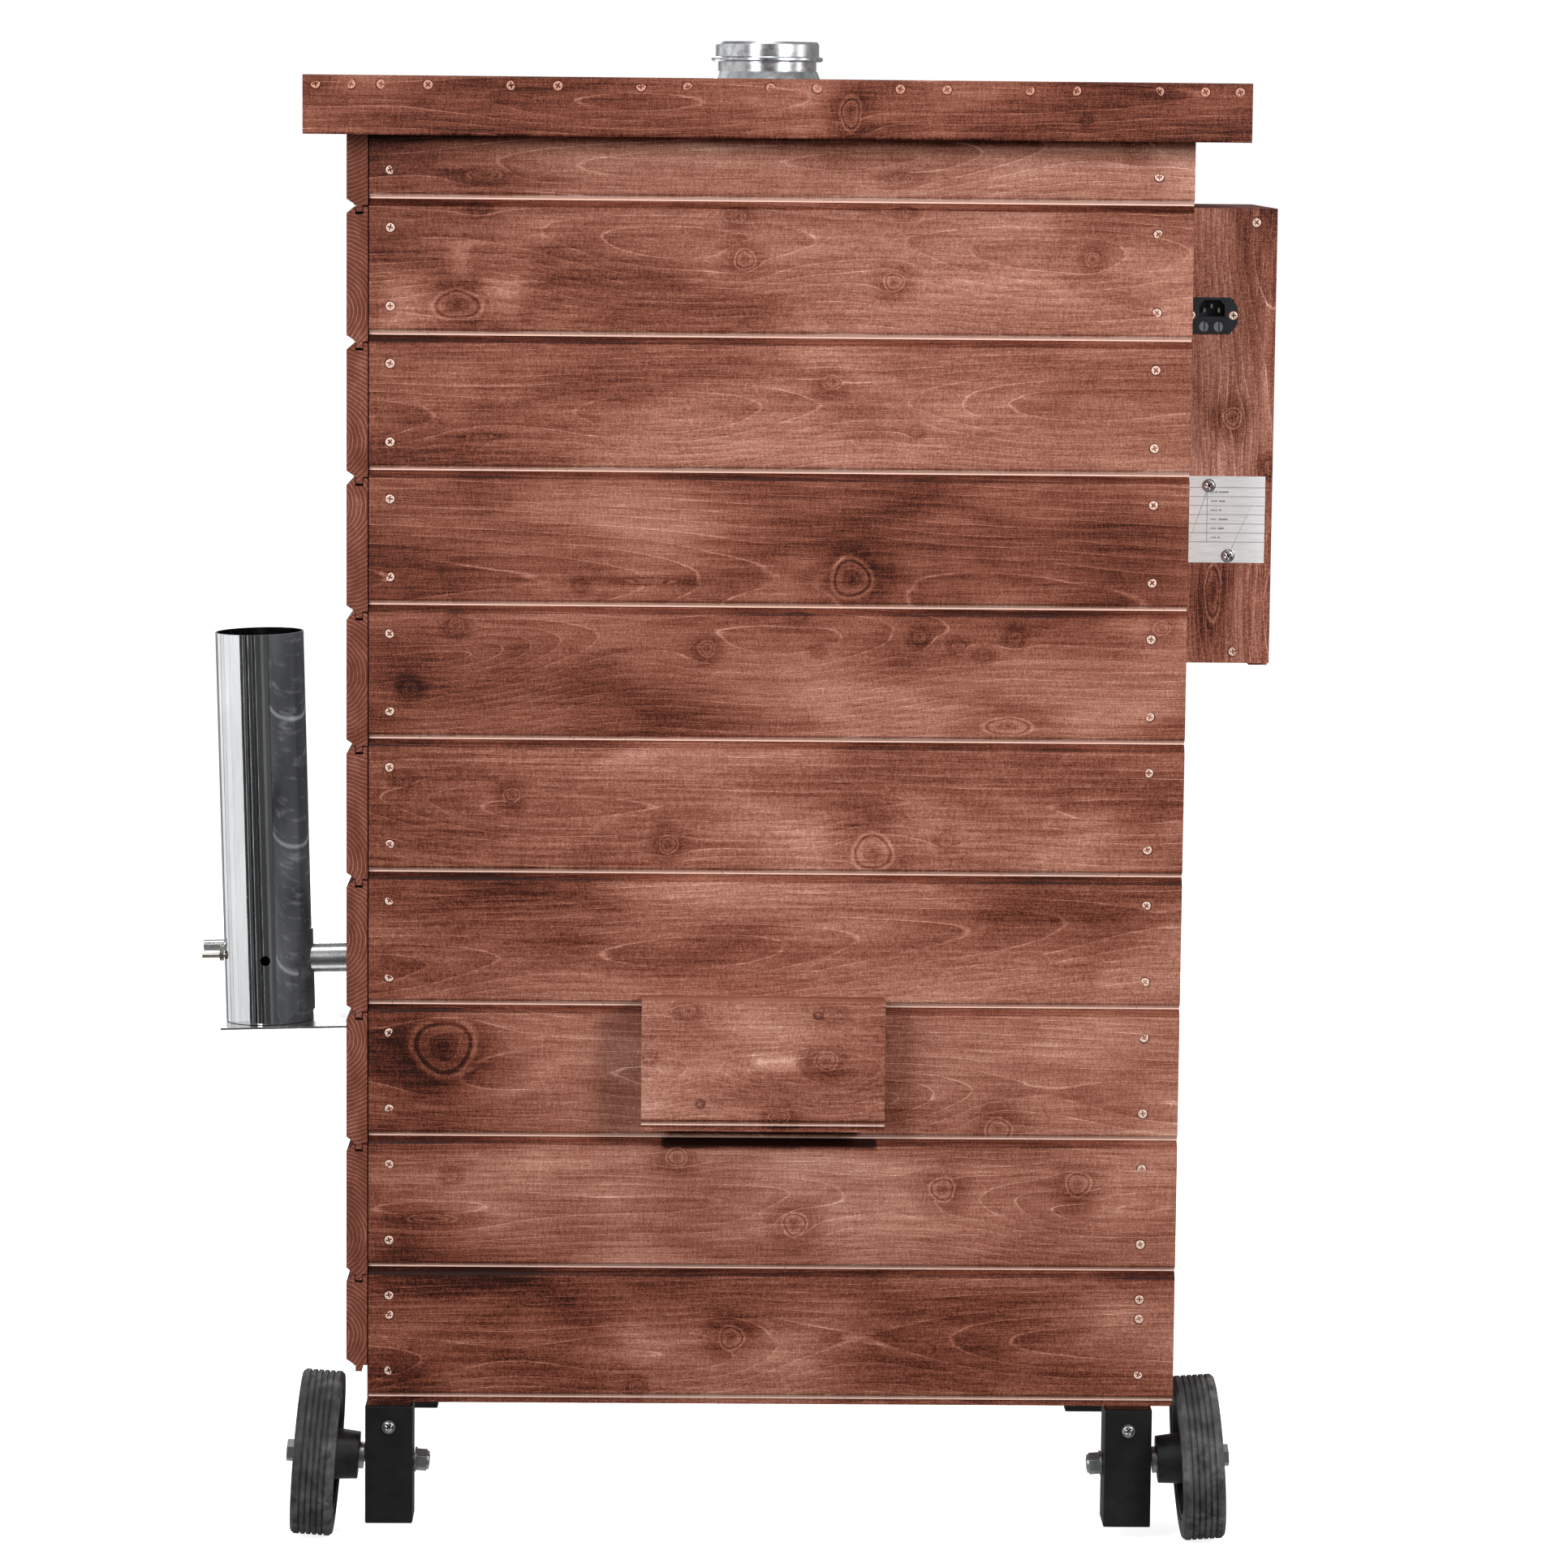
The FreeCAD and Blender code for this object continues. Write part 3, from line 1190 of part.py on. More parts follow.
stem_long = 70.0
gauge = turned("door_thermometer", [(0.0, -stem_long), (stem_radius, -stem_long),
                                    (stem_radius, 0.0), (32.0, 0.0), (32.0, 8.0),
                                    (30.0, 10.0), (28.5, 10.0), (28.5, 8.5), (0.0, 8.5)])
place(gauge, *dial_spot)
gauge.Placement = Placement(gauge.Placement.Base, Rotation(X_AXIS, 90.0))
node("door_thermometer", gauge)

hinge_x = left_x + 3.5
hinge_y = front_y - 3.5
pin_radius = 3.0
knuckle_radius = 5.5
knuckle_half = 15.0
knuckle_end = 27.0
strap_long = 420.0
plates = []
straps = []
for number, level in enumerate((340.0, 1180.0)):
    name = f"hinge_{number}"
    strap = fuse(name + "_strap_solid", [
        span_box(name + "_strap_bar", (hinge_x - strap_long, front_y - 3.0,
                                       level - knuckle_half),
                 (hinge_x, front_y - 0.2, level + knuckle_half)),
        rod(name + "_strap_knuckle", (hinge_x, hinge_y, level - knuckle_half),
            knuckle_radius, knuckle_half * 2)])
    straps.append(cut(name + "_strap", strap,
                      rod(name + "_strap_bore", (hinge_x, hinge_y, level - 40.0),
                          pin_radius + 0.06, 80.0)))
    leaf = span_box(name + "_leaf_bar", (left_x, hinge_y, level - knuckle_end),
                    (left_x + 2.5, frame_back + 70.0, level + knuckle_end))
    relief = span_box(name + "_relief", (left_x - 5.0, hinge_y - 8.0, level - 15.5),
                      (left_x + 12.0, hinge_y + 8.0, level + 15.5))
    ends = [rod(name + "_knuckle_low", (hinge_x, hinge_y, level - knuckle_end),
                knuckle_radius, knuckle_end - 15.5),
            rod(name + "_knuckle_high", (hinge_x, hinge_y, level + 15.5),
                knuckle_radius, knuckle_end - 15.5)]
    leaf_open = cut(name + "_leaf_open", leaf, relief)
    leaf_solid = fuse(name + "_leaf_solid", [leaf_open] + ends)
    pin = rod(name + "_pin", (hinge_x, hinge_y, level - knuckle_end - 1.0), pin_radius,
              (knuckle_end + 1.0) * 2)
    plates += [cut(name + "_leaf", leaf_solid, pin), pin]
node("hinge_plates_and_pins", group("hinge_plates_and_pins", plates))
node("hinge_straps", group("hinge_straps", straps))

keeper_plate = span_box("keeper_plate", (right_x - 2.5, front_y - 20.0, latch_z - 18.0),
                        (right_x, frame_back + 50.0, latch_z + 18.0))
keeper_lip = span_box("keeper_lip", (right_x - 2.5, front_y - 20.0, latch_z - 18.0),
                      (right_x + 22.0, front_y - 17.5, latch_z + 18.0))
node("latch_keeper", fuse("latch_keeper", [keeper_plate, keeper_lip]))
latch_face = front_y - 0.5
latch = fuse("latch_handle", [
    rod("latch_spindle", (latch_x, front_y - 8.0, latch_z), latch_pin, 20.0, "y"),
    rod("latch_boss", (latch_x, latch_face - 13.5, latch_z), 15.0, 13.5, "y"),
    span_box("latch_cam", (latch_x - 8.0, latch_face - 13.5, latch_z),
             (latch_x + 8.0, latch_face - 7.5, latch_z + 62.0)),
    span_box("latch_lever", (latch_x - 8.0, latch_face - 20.0, latch_z - 96.0),
             (latch_x + 8.0, latch_face - 7.5, latch_z)),
    rod("latch_grip", (latch_x, latch_face - 44.0, latch_z - 84.0), 11.0, 34.0, "y")])
node("latch_handle", latch)


# ---- checks and files ----------------------------------------------------------------------

doc.recompute()
for thing in doc.Objects:
    if "Invalid" in thing.State or "Error" in thing.State:
        raise RuntimeError(f"{thing.Name} did not recompute: {thing.State}")
for thing in NODES:
    if thing.Shape.isNull() or not thing.Shape.isValid() or not thing.Shape.Solids:
        raise RuntimeError(f"{thing.Label} has no valid solid")

os.makedirs("parts", exist_ok=True)
whole = FreeCAD.BoundBox()
for thing in NODES:
    thing.Shape.exportStep(f"parts/{thing.Label}.step")
    whole.add(thing.Shape.BoundBox)
    print(f"{thing.Label:28s} solids {len(thing.Shape.Solids):3d} "
          f"volume {thing.Shape.Volume:12.1f}")
print(len(NODES), "nodes, box", whole)
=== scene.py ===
"""Looks for the electric cabinet smoker: stained timber, polished tube, rubber and zinc."""

import math

import bmesh
import bpy
import numpy as np
from mathutils import Matrix, Quaternion, Vector


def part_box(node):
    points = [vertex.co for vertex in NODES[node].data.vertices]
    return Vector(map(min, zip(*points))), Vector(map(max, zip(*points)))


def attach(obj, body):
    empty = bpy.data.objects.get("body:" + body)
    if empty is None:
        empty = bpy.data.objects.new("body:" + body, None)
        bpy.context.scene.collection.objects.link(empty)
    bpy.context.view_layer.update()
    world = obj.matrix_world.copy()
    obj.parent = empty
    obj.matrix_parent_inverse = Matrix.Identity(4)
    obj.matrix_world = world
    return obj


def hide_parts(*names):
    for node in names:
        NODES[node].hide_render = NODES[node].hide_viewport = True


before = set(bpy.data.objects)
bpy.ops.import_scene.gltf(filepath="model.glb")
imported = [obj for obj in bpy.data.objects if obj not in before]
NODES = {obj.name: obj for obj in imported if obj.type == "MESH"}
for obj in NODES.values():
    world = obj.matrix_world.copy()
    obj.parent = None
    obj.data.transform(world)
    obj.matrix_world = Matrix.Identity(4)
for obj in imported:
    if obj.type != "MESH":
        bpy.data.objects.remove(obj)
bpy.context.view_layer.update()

MM = 0.001
PITCH = 128 * MM                       # from one board joint to the next
FIRST_JOINT = 266.5 * MM               # height of the side walls' lowest joint


def low(name):
    return Vector(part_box(name)[0])


def high(name):
    return Vector(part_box(name)[1])


# ---- camera, floor and light ----

def make_camera():
    """The view from behind the cabinet, at the height of its roof."""
    place = Vector((0.0437, 5.598, 1.385))
    pitch = math.radians(6.925)
    yaw = math.radians(1.024)
    roll = math.radians(0.564)
    data = bpy.data.cameras.new("camera")
    data.sensor_width = 36.0
    data.lens = 127.75
    camera = bpy.data.objects.new("camera", data)
    bpy.context.scene.collection.objects.link(camera)
    look = Vector((-math.sin(yaw) * math.cos(pitch), -math.cos(yaw) * math.cos(pitch),
                   -math.sin(pitch)))
    turn = look.to_track_quat("-Z", "Y") @ Quaternion((0, 0, 1), roll)
    camera.location = place
    camera.rotation_euler = turn.to_euler()
    bpy.context.scene.camera = camera


def area_light(name, place, target, size, power, glossy=True):
    data = bpy.data.lights.new(name, "AREA")
    data.shape = "RECTANGLE"
    data.size, data.size_y = size
    data.energy = power
    lamp = bpy.data.objects.new(name, data)
    lamp.location = place
    lamp.visible_glossy = glossy
    lamp.rotation_euler = (Vector(target) - Vector(place)).to_track_quat("-Z", "Y").to_euler()
    bpy.context.scene.collection.objects.link(lamp)


def stage_sheet(name, corners, glow, base=0.8):
    """A flat piece of the studio."""
    mesh = bpy.data.meshes.new(name)
    mesh.from_pydata(corners, [], [tuple(range(len(corners)))])
    sheet = bpy.data.objects.new(name, mesh)
    bpy.context.scene.collection.objects.link(sheet)
    mesh.materials.append(glowing_paint(name, base, glow, 0.8, 0.5))
    return sheet


def glowing_paint(name, base, glow, rough, specular):
    """A grey that also gives off white light, for the studio."""
    g = Graph(name + "_paint")
    return g.set(Base_Color=(base, base, base, 1), Emission_Color=(1, 1, 1, 1),
                 Emission_Strength=glow, Roughness=rough, specular=specular)


def show_only(thing, kept):
    """Hide a piece of the studio from every kind of ray but one."""
    for kind in ("camera", "glossy", "diffuse", "transmission", "volume_scatter", "shadow"):
        if kind != kept:
            setattr(thing, "visible_" + kind, False)


def card_lines():
    """Grey with thin pale lines at the board joints and fainter ones between them."""
    g = Graph("card_lines")
    place = g.place()
    z = g.split(place)[2]
    row = g.math("DIVIDE", g.minus(z, FIRST_JOINT), PITCH)
    joint = g.size(g.minus(row, g.math("ROUND", row)))
    fine = g.noise(g.scale(place, (1.0, 9.0, 150.0)), 1.0, 3.0, 0.7)
    broad = g.noise(g.scale(place, (1.0, 4.0, 9.0)), 1.0, 2.0)
    shade = g.add(g.span(joint, 0.006, 0.022, 0.46, 0.0),
                  g.add(g.span(fine, 0.54, 0.70, 0.0, 0.22),
                        g.span(broad, 0.3, 0.7, 0.0, 0.20)))
    colour = g.ramp(shade, [(0.0, tone(66, 66, 68)), (1.0, tone(236, 236, 237))])
    return g.set(Base_Color=colour, Roughness=0.9, specular=0.1)


# Upright strips of studio that only reflections show: the angle each one starts and ends
# at, in degrees from straight behind the cabinet towards its left wall, glow and base tone.
GLOSS_WALLS = [
    (135, 119, 0.84, 0.5), (119, 116, 0.26, 0.2), (116, 103, 0.70, 0.5), (103, 101.5, 0.4, 0.3),
    (101.5, 84, 0.86, 0.5), (84, 83, 0.52, 0.3), (83, 52, 0.80, 0.5),
    (52, 44.5, 0.02, 0.03), (44.5, 43.2, 0.46, 0.1), (43.2, 38.6, 0.03, 0.03),
    (38.6, 37.4, 0.16, 0.1), (37.4, 30.8, 0.0, 0.03), (30.8, 29.8, 0.55, 0.1),
    (29.8, 22.0, 0.02, 0.03), (22.0, 20.4, 0.14, 0.1), (20.4, 13.0, 0.01, 0.03),
    (13.0, 11.8, 0.34, 0.1), (11.8, -2.0, 0.04, 0.03), (-2.0, -9.0, 0.13, 0.05),
    (-9.0, -20.0, 0.06, 0.05), (-20.0, -100.0, 0.0, 0.03)]


def curved_wall(name, first, last, glow, base, reach):
    """A strip of an upright round wall, between two angles."""
    steps = max(1, int(abs(last - first) / 8))
    turns = [math.radians(first + (last - first) * k / steps) for k in range(steps + 1)]
    corners = [(reach * math.sin(a), reach * math.cos(a), z) for a in turns for z in (-5, 5)]
    wall = stage_sheet(name, corners[:3], glow, base)
    wall.data.clear_geometry()
    wall.data.from_pydata(corners, [], [(2 * k, 2 * k + 2, 2 * k + 3, 2 * k + 1)
                                        for k in range(steps)])
    return wall


def make_stage():
    """A white floor and surround, lamps, and the things that only reflections show."""
    half = 30.0
    floor = stage_sheet("floor", [(-half, -half, 0), (half, -half, 0), (half, half, 0),
                                  (-half, half, 0)], 0.86)
    floor.visible_diffuse = floor.visible_glossy = False
    world = bpy.data.worlds.new("studio")
    world.use_nodes = True
    sky = world.node_tree.nodes["Background"]
    sky.inputs["Color"].default_value = (1.0, 1.0, 1.0, 1)
    sky.inputs["Strength"].default_value = 0.30
    bpy.context.scene.world = world
    bpy.ops.mesh.primitive_uv_sphere_add(segments=48, ring_count=24, radius=28.0)
    surround = bpy.context.object
    surround.name = "surround"
    surround.data.materials.append(glowing_paint("surround", 0, 1.0, 0.5, 0.0))
    show_only(surround, "camera")
    for k, (first, last, glow, base) in enumerate(GLOSS_WALLS):
        show_only(curved_wall(f"gloss_wall_{k}", first, last, glow, base, 6.5), "glossy")
    # A grey card just outside the left wall that only reflections show: a painted reflection,
    # with pale lines at the wall's board joints.
    card_x = high("left_wall_boards").x + 3 * MM
    card = stage_sheet("grey_card", [(card_x, -0.27, 0.2), (card_x, 0.325, 0.2),
                                     (card_x, 0.325, 1.35), (card_x, -0.27, 1.35)], 0.0)
    card.data.materials[0] = card_lines()
    show_only(card, "glossy")
    area_light("softbox_right", (-2.6, 3.1, 2.15), (0, 0.3, 0.8), (0.8, 1.1), 100)
    area_light("softbox_left", (1.95, 3.7, 2.05), (0, 0.3, 0.8), (0.7, 1.1), 58)
    area_light("top_light", (0.2, 1.4, 4.3), (0, 0.2, 0.8), (2.0, 1.4), 42)
    area_light("side_strip", (3.3, 1.2, 1.2), (0.4, 0.1, 0.7), (0.5, 2.4), 22, False)
    area_light("far_strip", (-3.2, 0.6, 1.4), (-0.4, 0.0, 0.8), (0.6, 2.2), 20)
    area_light("front_fill", (0.8, -4.2, 2.6), (0, 0, 0.7), (2.4, 2.0), 95)
    bpy.context.scene.view_settings.view_transform = "Standard"


# ---- shader graphs ----

class Graph:
    """Short names for the shader nodes that the materials below are built from."""

    def __init__(self, name):
        self.material = bpy.data.materials.new(name)
        self.material.use_nodes = True
        self.tree = self.material.node_tree
        self.shader = self.tree.nodes["Principled BSDF"]

    def node(self, kind, inputs=(), out=0, **settings):
        made = self.tree.nodes.new("ShaderNode" + kind)
        for key, value in settings.items():
            setattr(made, key, value)
        for key, value in dict(inputs).items():
            self.feed(made.inputs[key], value)
        return made.outputs[out]

    def feed(self, socket, value):
        if isinstance(value, bpy.types.NodeSocket):
            self.tree.links.new(value, socket)
        elif value is not None:
            socket.default_value = value

    def math(self, operation, a, b=None, c=None):
        inputs = {0: a, 1: b, 2: c}
        return self.node("Math", {k: v for k, v in inputs.items() if v is not None},
                         operation=operation)

    def vector(self, operation, a, b):
        return self.node("VectorMath", {0: a, 1: b}, operation=operation)

    def add(self, a, b):
        return self.math("ADD", a, b)

    def times(self, a, b):
        return self.math("MULTIPLY", a, b)

    def minus(self, a, b):
        return self.math("SUBTRACT", a, b)

    def size(self, a):
        return self.math("ABSOLUTE", a)

    def scale(self, vector, sizes):
        return self.vector("MULTIPLY", vector, sizes)

    def shift(self, vector, origin):
        return self.vector("SUBTRACT", vector, origin)

    def between(self, value, least, most):
        """1 where a value lies between two others, 0 elsewhere."""
        return self.times(self.math("GREATER_THAN", value, least),
                          self.math("LESS_THAN", value, most))

    def attribute(self, name):
        return self.node("Attribute", out=1, attribute_name=name)

    def split(self, vector):
        self.node("SeparateXYZ", {0: vector})
        return self.tree.nodes[-1].outputs[:]

    def place(self):
        return self.node("TexCoord", out=3)

    def noise(self, vector, scale, detail=2.0, rough=0.5, warp=0.0):
        return self.node("TexNoise", {"Vector": vector, "Scale": scale, "Detail": detail,
                                      "Roughness": rough, "Distortion": warp})

    def ramp(self, value, stops):
        made = self.tree.nodes.new("ShaderNodeValToRGB")
        self.feed(made.inputs[0], value)
        band = made.color_ramp
        while len(band.elements) < len(stops):
            band.elements.new(0.5)
        for element, (where, colour) in zip(band.elements, stops):
            element.position = where
            element.color = colour
        return made.outputs[0]

    def span(self, value, low_in, high_in, low_out=0.0, high_out=1.0):
        return self.node("MapRange", {0: value, 1: low_in, 2: high_in, 3: low_out, 4: high_out})

    def mix(self, share, a, b):
        made = self.tree.nodes.new("ShaderNodeMix")
        made.data_type = "RGBA"
        self.feed(made.inputs[0], share)
        self.feed(made.inputs[6], a)
        self.feed(made.inputs[7], b)
        return made.outputs[2]

    def bump(self, height, strength, distance):
        self.feed(self.shader.inputs["Normal"],
                  self.node("Bump", {"Height": height, "Strength": strength,
                                     "Distance": distance}))

    def set(self, **values):
        for key, value in values.items():
            self.feed(self.shader.inputs[key.replace("_", " ").title()
                                         if key != "specular" else "Specular IOR Level"], value)
        return self.material


def tone(red, green, blue):
    """A display colour, 0 to 255, as the linear colour that shaders use."""
    def linear(value):
        value /= 255.0
        return value / 12.92 if value <= 0.04045 else ((value + 0.055) / 1.055) ** 2.4
    return (linear(red), linear(green), linear(blue), 1.0)


# ---- timber ----

# Stain stops, darkest first. The darkest also serves painted shadow, the palest also the painted
# highlight line at the joints.
STAIN_DARKEST_AND_SHADOW = tone(36, 10, 4)
STAIN_DARK = tone(84, 36, 22)
STAIN_DEEP = tone(122, 67, 49)
STAIN_MID = tone(153, 98, 80)
STAIN_PALE = tone(188, 135, 116)
STAIN_PALEST_AND_HIGHLIGHT = tone(246, 205, 188)


def timber(name, dim=0.0, contrast=1.0):
    """Stained spruce: pale latewood lines on a brown-red ground, with blotches and knots.

    Every board carries "board" = (length, width, seed) in metres and "grain" =
    (growth-ring count, distance from the nearest knot in knot sizes, tone), where the tone
    also holds painted shade, painted highlights and painted shadows."""
    g = Graph(name)
    board = g.attribute("board")
    ring, knot, shade = g.split(g.attribute("grain"))
    seed = g.split(board)[2]
    drift = g.noise(g.scale(board, (9.0, 60.0, 9.0)), 1.0, 3.0, 0.6)
    count = g.add(ring, g.times(drift, 0.34))
    phase = g.math("FRACT", count)
    edge = g.size(g.minus(phase, 0.5))
    line = g.span(edge, 0.45, 0.49)
    vary = g.noise(g.scale(board, (11.0, 60.0, 5.0)), 1.0, 3.0, 0.65)
    blotch = g.noise(g.scale(board, (6.0, 15.0, 13.0)), 1.0, 2.0, 0.5, 0.5)
    cloud = g.noise(g.scale(board, (2.6, 6.0, 17.0)), 1.0, 1.0)
    fibre = g.noise(g.scale(board, (40.0, 1300.0, 3.0)), 1.0, 3.0, 0.6)
    streak = g.noise(g.scale(board, (8.0, 260.0, 21.0)), 1.0, 3.0, 0.62)
    saw = g.noise(g.scale(board, (620.0, 110.0, 3.0)), 1.0, 2.0, 0.65)
    speck = g.noise(g.scale(board, (420.0, 420.0, 31.0)), 1.0, 1.0)
    grit = g.noise(g.scale(board, (520.0, 760.0, 9.0)), 1.0, 2.0, 0.7)
    lines = g.times(line, g.span(vary, 0.36, 0.66, 0.03, 0.28))
    value = g.add(lines, g.span(blotch, 0.25, 0.75, 0.22, 0.54))
    value = g.add(value, g.span(cloud, 0.3, 0.7, -0.10, 0.16))
    value = g.add(value, g.times(g.minus(0.5, phase), 0.07))
    for layer, most in ((fibre, 0.11), (streak, 0.08), (saw, 0.06), (grit, 0.13)):
        value = g.add(value, g.span(layer, 0.3, 0.7, -most, most))
    rim = g.span(g.size(g.minus(knot, 1.12)), 0.0, 0.18, 0.12, 0.0)
    crack = g.span(g.size(g.minus(knot, 0.92)), 0.0, 0.14, -0.26, 0.0)
    heart = g.add(g.span(knot, 0.05, 0.80, -0.24, 0.0), crack)
    halo = g.span(knot, 1.2, 3.2, -0.16, 0.0)
    value = g.add(value, g.times(g.span(knot, 1.0, 1.2), halo))
    value = g.add(value, g.add(rim, heart))
    # The tone brings in painted shade, painted highlights and painted shadows as well as board
    # tone.
    value = g.add(g.add(value, shade), -dim)
    value = g.math("MULTIPLY_ADD", g.minus(value, 0.42), contrast, 0.42)
    colour = g.ramp(value, [(0.0, STAIN_DARKEST_AND_SHADOW), (0.12, STAIN_DARK), (0.29, STAIN_DEEP),
                            (0.46, STAIN_MID), (0.66, STAIN_PALE), (1.0, STAIN_PALEST_AND_HIGHLIGHT)])
    flecks = g.span(speck, 0.70, 0.78, 0.0, 0.5)
    colour = g.mix(flecks, colour, STAIN_DARK)
    g.bump(g.add(g.times(line, 0.5), g.add(g.times(saw, 0.6), fibre)), 0.3, 0.0006)
    rough = g.span(value, 0.1, 0.8, 0.46, 0.62)
    return g.set(Base_Color=colour, Roughness=rough, specular=0.2)


def end_grain(name):
    """Sawn board ends: arcs of growth rings, stained darker than the faces."""
    g = Graph(name)
    board = g.attribute("board")
    across, deep, seed = g.split(board)
    middle = g.math("MULTIPLY_ADD", g.math("SINE", g.times(seed, 12.9)), 0.045, 0.06)
    from_pith = g.minus(across, middle)
    depth = g.add(deep, 0.018)
    radius = g.math("SQRT", g.add(g.times(from_pith, from_pith), g.times(depth, depth)))
    wobble = g.noise(g.scale(board, (60.0, 60.0, 7.0)), 1.0, 2.0)
    count = g.math("MULTIPLY_ADD", radius, 260.0, g.times(wobble, 1.2))
    phase = g.size(g.minus(g.math("FRACT", count), 0.5))
    pores = g.noise(g.scale(board, (900.0, 900.0, 5.0)), 1.0, 2.0, 0.7)
    stain = g.noise(g.scale(board, (30.0, 60.0, 11.0)), 1.0, 3.0, 0.6)
    value = g.add(g.span(phase, 0.36, 0.48, 0.0, 0.34),
                  g.add(g.span(pores, 0.3, 0.7, 0.0, 0.22),
                        g.span(stain, 0.3, 0.7, 0.08, 0.36)))
    colour = g.ramp(value, [(0.0, tone(74, 30, 18)), (0.42, tone(116, 62, 46)),
                            (1.0, tone(196, 146, 128))])
    g.bump(pores, 0.3, 0.0006)
    return g.set(Base_Color=colour, Roughness=0.7, specular=0.2)


def board_field(u, v, pith, slope, spacing, wander, seed, knots):
    """Growth-ring count and knot distance over a board's face, from its pith line and knots.

    u and v are the distances along and across the board, pith is (height, depth) of the
    pith line at the board's start, slope is how much both change to its far end."""
    rng = np.random.default_rng(seed)
    length = max(u.max(), 0.01)
    share = u / length
    sway = sum(wander / (k + 1) * np.sin(math.tau * (share * (k + 0.7) * 0.9 + rng.random()))
               for k in range(3))
    bent_v = v.copy()
    near = np.full(u.shape, 9.0)
    for knot_u, knot_v, half_long, half_tall in knots:
        du, dv = (u - knot_u), (v - knot_v)
        reach_u, reach_v = half_long * 2.6 + 0.006, half_tall * 1.9 + 0.003
        swell = np.exp(-(du / reach_u) ** 2 - (dv / reach_v) ** 2)
        bent_v -= (bent_v - knot_v) * swell * 0.86
        ragged = 1.0 + 0.06 * np.sin(3 * np.arctan2(dv, du) + knot_u * 300)
        near = np.minimum(near, np.hypot(du / half_long, dv / half_tall) * ragged)
    height = pith[0] + slope[0] * share + sway
    depth = pith[1] + slope[1] * share + sway * 1.7
    count = np.hypot(bent_v - height, depth) / spacing
    inside = np.clip((1.05 - near) / 0.25, 0, 1)
    return count * (1 - inside) + near * 3.4 * inside, near


class Plank:
    """One board as a mesh: a profile run along its length, with its grain worked out."""

    def __init__(self, start, along, across, out, long, profile, fine):
        self.start, self.along, self.across, self.out = start, along, across, out
        self.long = long
        self.loop = self.divide(profile, fine)
        self.steps = max(2, int(round(long / fine)))

    @staticmethod
    def divide(profile, fine):
        """Cut the outer-face edge of a (width, depth) profile into short steps."""
        loop = []
        for (v0, t0), (v1, t1) in zip(profile, profile[1:] + profile[:1]):
            flat = abs(t0) < 1e-6 and abs(t1) < 1e-6
            cuts = max(1, int(round(abs(v1 - v0) / fine))) if flat else 1
            loop += [(v0 + (v1 - v0) * k / cuts, t0 + (t1 - t0) * k / cuts) for k in range(cuts)]
        return np.array(loop)

    def build(self, grain):
        """Vertices, faces, and the two attributes; the two ends come last."""
        count = len(self.loop)
        u = np.repeat(np.linspace(0, self.long, self.steps + 1), count)
        v = np.tile(self.loop[:, 0], self.steps + 1)
        t = np.tile(self.loop[:, 1], self.steps + 1)
        axes = [np.array(axis) for axis in (self.along, self.across, self.out)]
        points = (np.array(self.start) + u[:, None] * axes[0] + v[:, None] * axes[1]
                  - t[:, None] * axes[2])
        ring = np.arange(count)
        after = (ring + 1) % count
        rows = np.arange(self.steps)[:, None] * count
        quads = np.stack([rows + ring, rows + count + ring, rows + count + after,
                          rows + after], axis=-1).reshape(-1, 4)
        flip = np.dot(np.cross(axes[0], axes[1]), axes[2]) < 0
        if flip:
            quads = quads[:, ::-1]
        seed = grain["seed"]
        field = {key: grain[key] for key in
                 ("pith", "slope", "spacing", "wander", "seed", "knots")}
        lines, near = board_field(u, v + t * 0.5, **field)
        board = np.stack([u, v + t, np.full(u.shape, seed * 0.137)], axis=-1)
        # Board tone, plus painted shade and a painted highlight line at the joint chamfers.
        shade = grain_tone(seed) + joint_highlight_and_shade(v, t, grain["top"])
        stain = grain.get("stain", (0, 0))
        shade = shade + np.interp(u / self.long, (0.06, 0.32), stain)
        # Each patch lightens or darkens a soft-edged box: painted shadow and painted shade, or
        # paler stain, as the board's list gives.
        for patch in grain.get("patches", ()):
            mid_u, mid_v, half_long, half_tall, soft, amount = [value * MM for value in patch]
            away = np.maximum((np.abs(u - mid_u) - half_long) / soft,
                              (np.abs(v - mid_v) - half_tall) / soft)
            shade = shade + amount / MM * np.clip(1 - away, 0, 1)
        fields = np.stack([lines, near, shade], axis=-1)
        first, last = points[:count], points[-count:]
        ends = np.concatenate([first, last])
        caps = [list(range(count))[::-1], list(range(count, 2 * count))]
        if flip:
            caps = [cap[::-1] for cap in caps]
        end_board = np.stack([np.tile(self.loop[:, 0], 2), np.tile(self.loop[:, 1], 2),
                              np.full(2 * count, seed * 0.137)], axis=-1)
        return points, quads, board, fields, ends, caps, end_board


def joint_highlight_and_shade(v, t, top):
    """How much paler the joint's chamfers are: none on the outer face, painted shade on a board's
    upper chamfer, a little darker on its lower one, and a painted highlight line on the flat at
    the bottom.
    """
    deep = np.clip(t / (7 * MM), 0, 1)
    upper = np.where(v > top / 2, 0.08 * deep - 0.24, -0.04)
    bottom = (t > 6.5 * MM) & (t < 9 * MM) & (v < top / 2)
    return np.where(t < 0.2 * MM, 0.0, np.where(bottom, 1.0, upper))


def grain_tone(seed):
    """A small lightness difference between one board and the next."""
    return 0.05 * math.sin(seed * 7.3)


